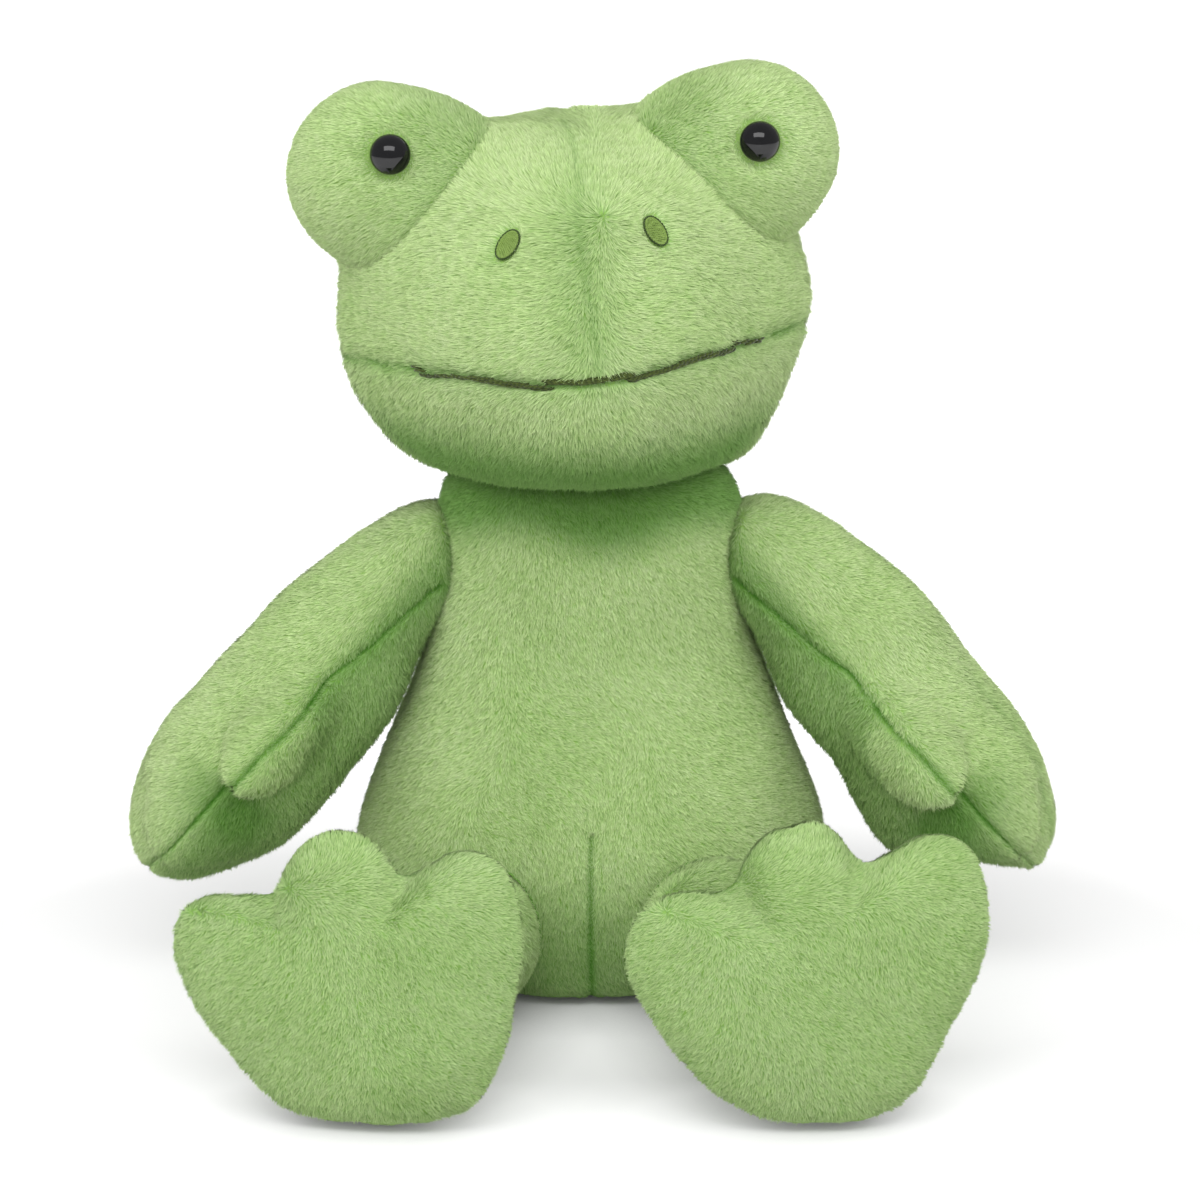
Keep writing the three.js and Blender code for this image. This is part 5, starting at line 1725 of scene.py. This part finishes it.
# %% Threads
def thread_material(name, base, deep):
    material, tree, shader = shaded(name, 0.55, 0.3, 0.2, 0.4)
    # two plies twist round each other, with painted shade in the grooves between them, and each stitch's tone differs a
    # little at random
    along, round_it = (attribute(tree, name) for name in ("along", "round"))
    turns = maths(tree, "ADD", maths(tree, "MULTIPLY", along, 18.0), maths(tree, "MULTIPLY", round_it, 3.0))
    ply = maths(tree, "ADD", maths(tree, "MULTIPLY", maths(tree, "SINE", turns), 0.5), 0.5)
    level = maths(tree, "ADD", maths(tree, "MULTIPLY", ply, 0.6), maths(tree, "MULTIPLY", attribute(tree, "tone"), 0.4))
    tree.links.new(mixed(tree, level, deep, base), shader.inputs["Base Color"])
    bump = node(tree, "ShaderNodeBump", {"Height": ply, "Strength": 0.4, "Distance": 0.0002})
    tree.links.new(bump.outputs["Normal"], shader.inputs["Normal"])
    return material


def lay_stitches(name, rows, thickness, material, seed):
    """A plain mesh of stitches from rows of place, way, outward way and span; places and spans are in millimetres."""
    places, ways, outs, spans = (np.array(column) for column in zip(*rows))
    holder = new_object(name + "_points", places * MM, [])
    put_layers(holder.data, (("way", VECTOR, ways), ("out", VECTOR, outs), ("span", "FLOAT", spans * MM)))
    values = {"Stitch": stitch, "Thickness": thickness * MM, "Seed": seed, "Material": material}
    made = grown_by(stitch_nodes, name, holder, values, ("way", "out", "span"))
    made.data.polygons.foreach_set("use_smooth", [True] * len(made.data.polygons))
    print(f"{name}: {len(places)} stitches, {len(made.data.polygons)} faces")
    return made


def joined(name, pieces):
    with bpy.context.temp_override(active_object=pieces[0], selected_editable_objects=pieces):
        bpy.ops.object.join()
    pieces[0].name = pieces[0].data.name = name
    return pieces[0]


mouth_dark = thread_material("mouth_thread_dark", colour(74, 88, 28), colour(34, 46, 12))
olive = thread_material("nostril_thread_olive", colour(148, 176, 92), colour(112, 140, 60))
olive_dark = thread_material("nostril_edge_dark", colour(66, 90, 32), colour(38, 56, 16))
green_thread = thread_material("seam_thread_green", colour(120, 165, 75), colour(80, 122, 46))
print("threads:", [thread.name for thread in (mouth_dark, olive, olive_dark, green_thread)])

# %% [markdown]
# ## Nostrils
# Each nostril is an oval of satin stitch with a raised edge, and one dark outline lies round it. A
# needle finds the cloth by going in from above, and so does a ray here, stitch by stitch.

# %% Surface under a stitch
def on_cloth(tree, point, way):
    """The cloth's point and outward normal, in millimetres, met when going back along way."""
    start = Vector(((point + way * 15) * MM).tolist())
    place, normal, _, _ = tree.ray_cast(start, Vector((-way).tolist()))
    if place is None:
        place, normal, _, _ = tree.find_nearest(Vector((point * MM).tolist()))
    return np.array(place) / MM, np.array(normal)


head_cloth = tree_of("head_skin")
print("cloth at the left nostril:", on_cloth(head_cloth, *clear["left"][:2])[0].round(1))

# %% Nostrils
def nostril(side):
    centre, normal, long_way = clear[side]
    long_way = long_way - normal * (long_way @ normal)
    long_way /= np.linalg.norm(long_way)
    wide_way = np.cross(normal, long_way)
    half_long, half_wide, draw = 5.0, 3.05, np.random.default_rng(5)

    def laid(u, v, way, span, lift):
        place, out = on_cloth(head_cloth, centre + long_way * u + wide_way * v, normal)
        return place + out * lift, way, out, span

    fill = []
    for row, u in enumerate(np.arange(-half_long + 0.3, half_long, 0.36)):
        reach = half_wide * math.sqrt(max(1 - (u / half_long) ** 2, 0))
        step = 1.25
        for v in np.arange(-reach + step * (0.25 + 0.5 * (row % 2)), reach, step):
            fill.append(laid(u, v + draw.uniform(-0.1, 0.1), wide_way + 0.12 * long_way, 1.5, 1.0))
    inner, outer = [], []
    around = np.linspace(0, 2 * math.pi, 64, endpoint=False)
    for angle in around:
        way = np.cos(angle) * long_way / half_wide + np.sin(angle) * wide_way / half_long
        inner.append(laid(half_long * 0.96 * math.cos(angle), half_wide * 0.94 * math.sin(angle), way, 0.9, 1.25))
    for angle in around[::2]:
        along = -math.sin(angle) * half_long * long_way + math.cos(angle) * half_wide * wide_way
        outer.append(laid((half_long + 0.35) * math.cos(angle), (half_wide + 0.35) * math.sin(angle), along, 1.15, 1.1))
    pieces = []
    for number, (rows, thick, material) in enumerate(((fill, 0.42, olive), (inner, 0.36, olive), (outer, 0.6, olive_dark))):
        pieces.append(lay_stitches(f"{side}_nostril_{number}", rows, thick, material, 60 + number))
    made = joined(f"{side}_nostril_embroidery", pieces)
    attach(made, "head")
    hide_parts(f"{side}_nostril")


for side in sides:
    nostril(side)

# %% [markdown]
# ## Mouth
# The mouth is a line of thick dark thread over the mouth seam: three runs of long stitches that
# overlap, so that the line is thick in the middle and a single thread at its ends.

# %% Mouth
# for each run: where it starts and ends, how far it stands off the cloth and hangs below the seam, and its stitches
mouth_runs = ((-0.676, 0.712, 1.9, 0.0, 44), (-0.66, 0.7, 1.7, 0.55, 44), (-0.4, 0.6, 1.8, -0.5, 32))


def mouth():
    rows, draw = [], np.random.default_rng(9)
    for start, end, lift, drop, count in mouth_runs:
        sides_here = np.linspace(start, end, count)
        line = np.array([face_point(mouth_height(s), s) for s in sides_here])
        ways = np.gradient(line, axis=0)
        for point, way in zip(line, ways):
            ahead = np.array([0.35 * point[0] / 60, -1, 0.0])
            place, out = on_cloth(head_cloth, point, ahead / np.linalg.norm(ahead))
            way = way / np.linalg.norm(way)
            up = np.cross(way, out)
            up *= np.sign(up[2])
            place = place + out * lift + up * (draw.uniform(-0.18, 0.18) - drop)
            rows.append((place, way + up * draw.uniform(-0.08, 0.08), out, 5.2))
    made = lay_stitches("mouth_embroidery", rows, 0.85, mouth_dark, 70)
    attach(made, "head")
    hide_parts("mouth_stitch")


mouth()

# %% [markdown]
# ## Threads in the seams
# The head and limbs are drawn against the torso by a loop of strong thread in the crease, and the
# back is closed by hand with a ladder of short stitches where the filling went in. Pile hides
# nearly all of it. Each loop is a run of stitches end to end, which turns with its own body.

# %% Seam loops
def loop_of(name, node_name, radius, body, centre, axis):
    axis = np.array(axis, float) / np.linalg.norm(axis)
    first = np.cross(axis, [0, 1, 0] if abs(axis[1]) < 0.8 else [1, 0, 0])
    first /= np.linalg.norm(first)
    second = np.cross(axis, first)
    count = int(2 * math.pi * radius / 3.2)
    angles = np.linspace(0, 2 * math.pi, count, endpoint=False)
    outs = np.cos(angles)[:, None] * first + np.sin(angles)[:, None] * second
    ways = -np.sin(angles)[:, None] * first + np.cos(angles)[:, None] * second + 0.12 * axis
    made = lay_stitches(name, zip(centre + outs * radius, ways, outs, [3.9] * count), 0.8, green_thread, 80)
    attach(made, body)
    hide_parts(node_name)


def middle_of(name):
    low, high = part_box(name)
    return (np.array(low) + np.array(high)) / 2 / MM


loop_of("neck_loop", "neck_stitch", 28.0, "neck_seam", middle_of("neck_stitch"), (0, 0, 1))
for side, at in sides.items():
    mirror = at["mirror"]
    swing = math.radians(12)
    loop_of(f"{side}_shoulder_loop", f"{side}_shoulder_stitch", 17.5, f"{side}_shoulder_seam",
            middle_of(f"{side}_shoulder_stitch"), (mirror * math.cos(swing), 0, math.sin(swing)))
    swing = math.radians(23)
    loop_of(f"{side}_hip_loop", f"{side}_hip_stitch", 22.5, f"{side}_hip_seam",
            middle_of(f"{side}_hip_stitch"), (mirror * math.sin(swing), -math.cos(swing), 0))

print("neck loop's middle:", middle_of("neck_stitch").round(1))

# %% Back closing
low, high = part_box("back_closing_stitch")
back_cloth = tree_of("torso_skin")
rungs = []
for height in np.arange(low[2] / MM + 2, high[2] / MM - 2, 4.0):
    place, out = on_cloth(back_cloth, np.array([0, 60.0, height]), np.array([0, 1.0, 0]))
    rungs.append((place + out * 0.9, np.array([1, 0, 0.12]), out, 4.2))
ladder = lay_stitches("back_closing_ladder", rungs, 0.8, green_thread, 90)
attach(ladder, "torso")
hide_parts("back_closing_stitch")
bpy.data.objects.remove(stitch)

# %% [markdown]
# ## What stays as packed, and what each cover stands for
# The lock washers sit inside the mounds and keep their imported shape, in plain moulded plastic.
# Each cover stands for its packed cover and filling, whose imported parts are hidden.

# %% Washers
def washer_material():
    material, tree, shader = shaded("washer_plastic", 0.4, 0.5)
    where = node(tree, "ShaderNodeTexCoord").outputs["Object"]
    flow = node(tree, "ShaderNodeTexNoise", {"Vector": where, "Scale": 300.0, "Detail": 3.0}).outputs["Fac"]
    tree.links.new(mixed(tree, flow, colour(214, 213, 206), colour(236, 235, 230)), shader.inputs["Base Color"])
    bump = node(tree, "ShaderNodeBump", {"Height": flow, "Strength": 0.15, "Distance": 0.0003})
    tree.links.new(bump.outputs["Normal"], shader.inputs["Normal"])
    return material


washer_white = washer_material()
for side in sides:
    for slot in bpy.data.objects[f"{side}_eye_washer"].material_slots:
        slot.material = washer_white

# %% What each cover stands for
stands_for = {"torso_skin": ["torso_cover", "torso_stuffing"], "head_skin": ["head_cover", "head_stuffing"]}
for side in sides:
    stands_for[f"{side}_mound_skin"] = [f"{side}_eye_mound_cover", f"{side}_eye_mound_stuffing"]
    stands_for[f"{side}_arm_skin"] = [f"{side}_arm_cover", f"{side}_arm_stuffing"]
    stands_for[f"{side}_leg_skin"] = [f"{side}_leg_cover", f"{side}_leg_stuffing"]
    stands_for[f"{side}_foot_skin"] = [f"{side}_foot_upper", f"{side}_foot_sole", f"{side}_foot_stuffing"]
for name, at in skins.items():
    at["skin"].data.materials.append(cloth_finish)
    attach(at["skin"], at["body"])
    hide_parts(*stands_for[name])
print("covers:", len(stands_for))
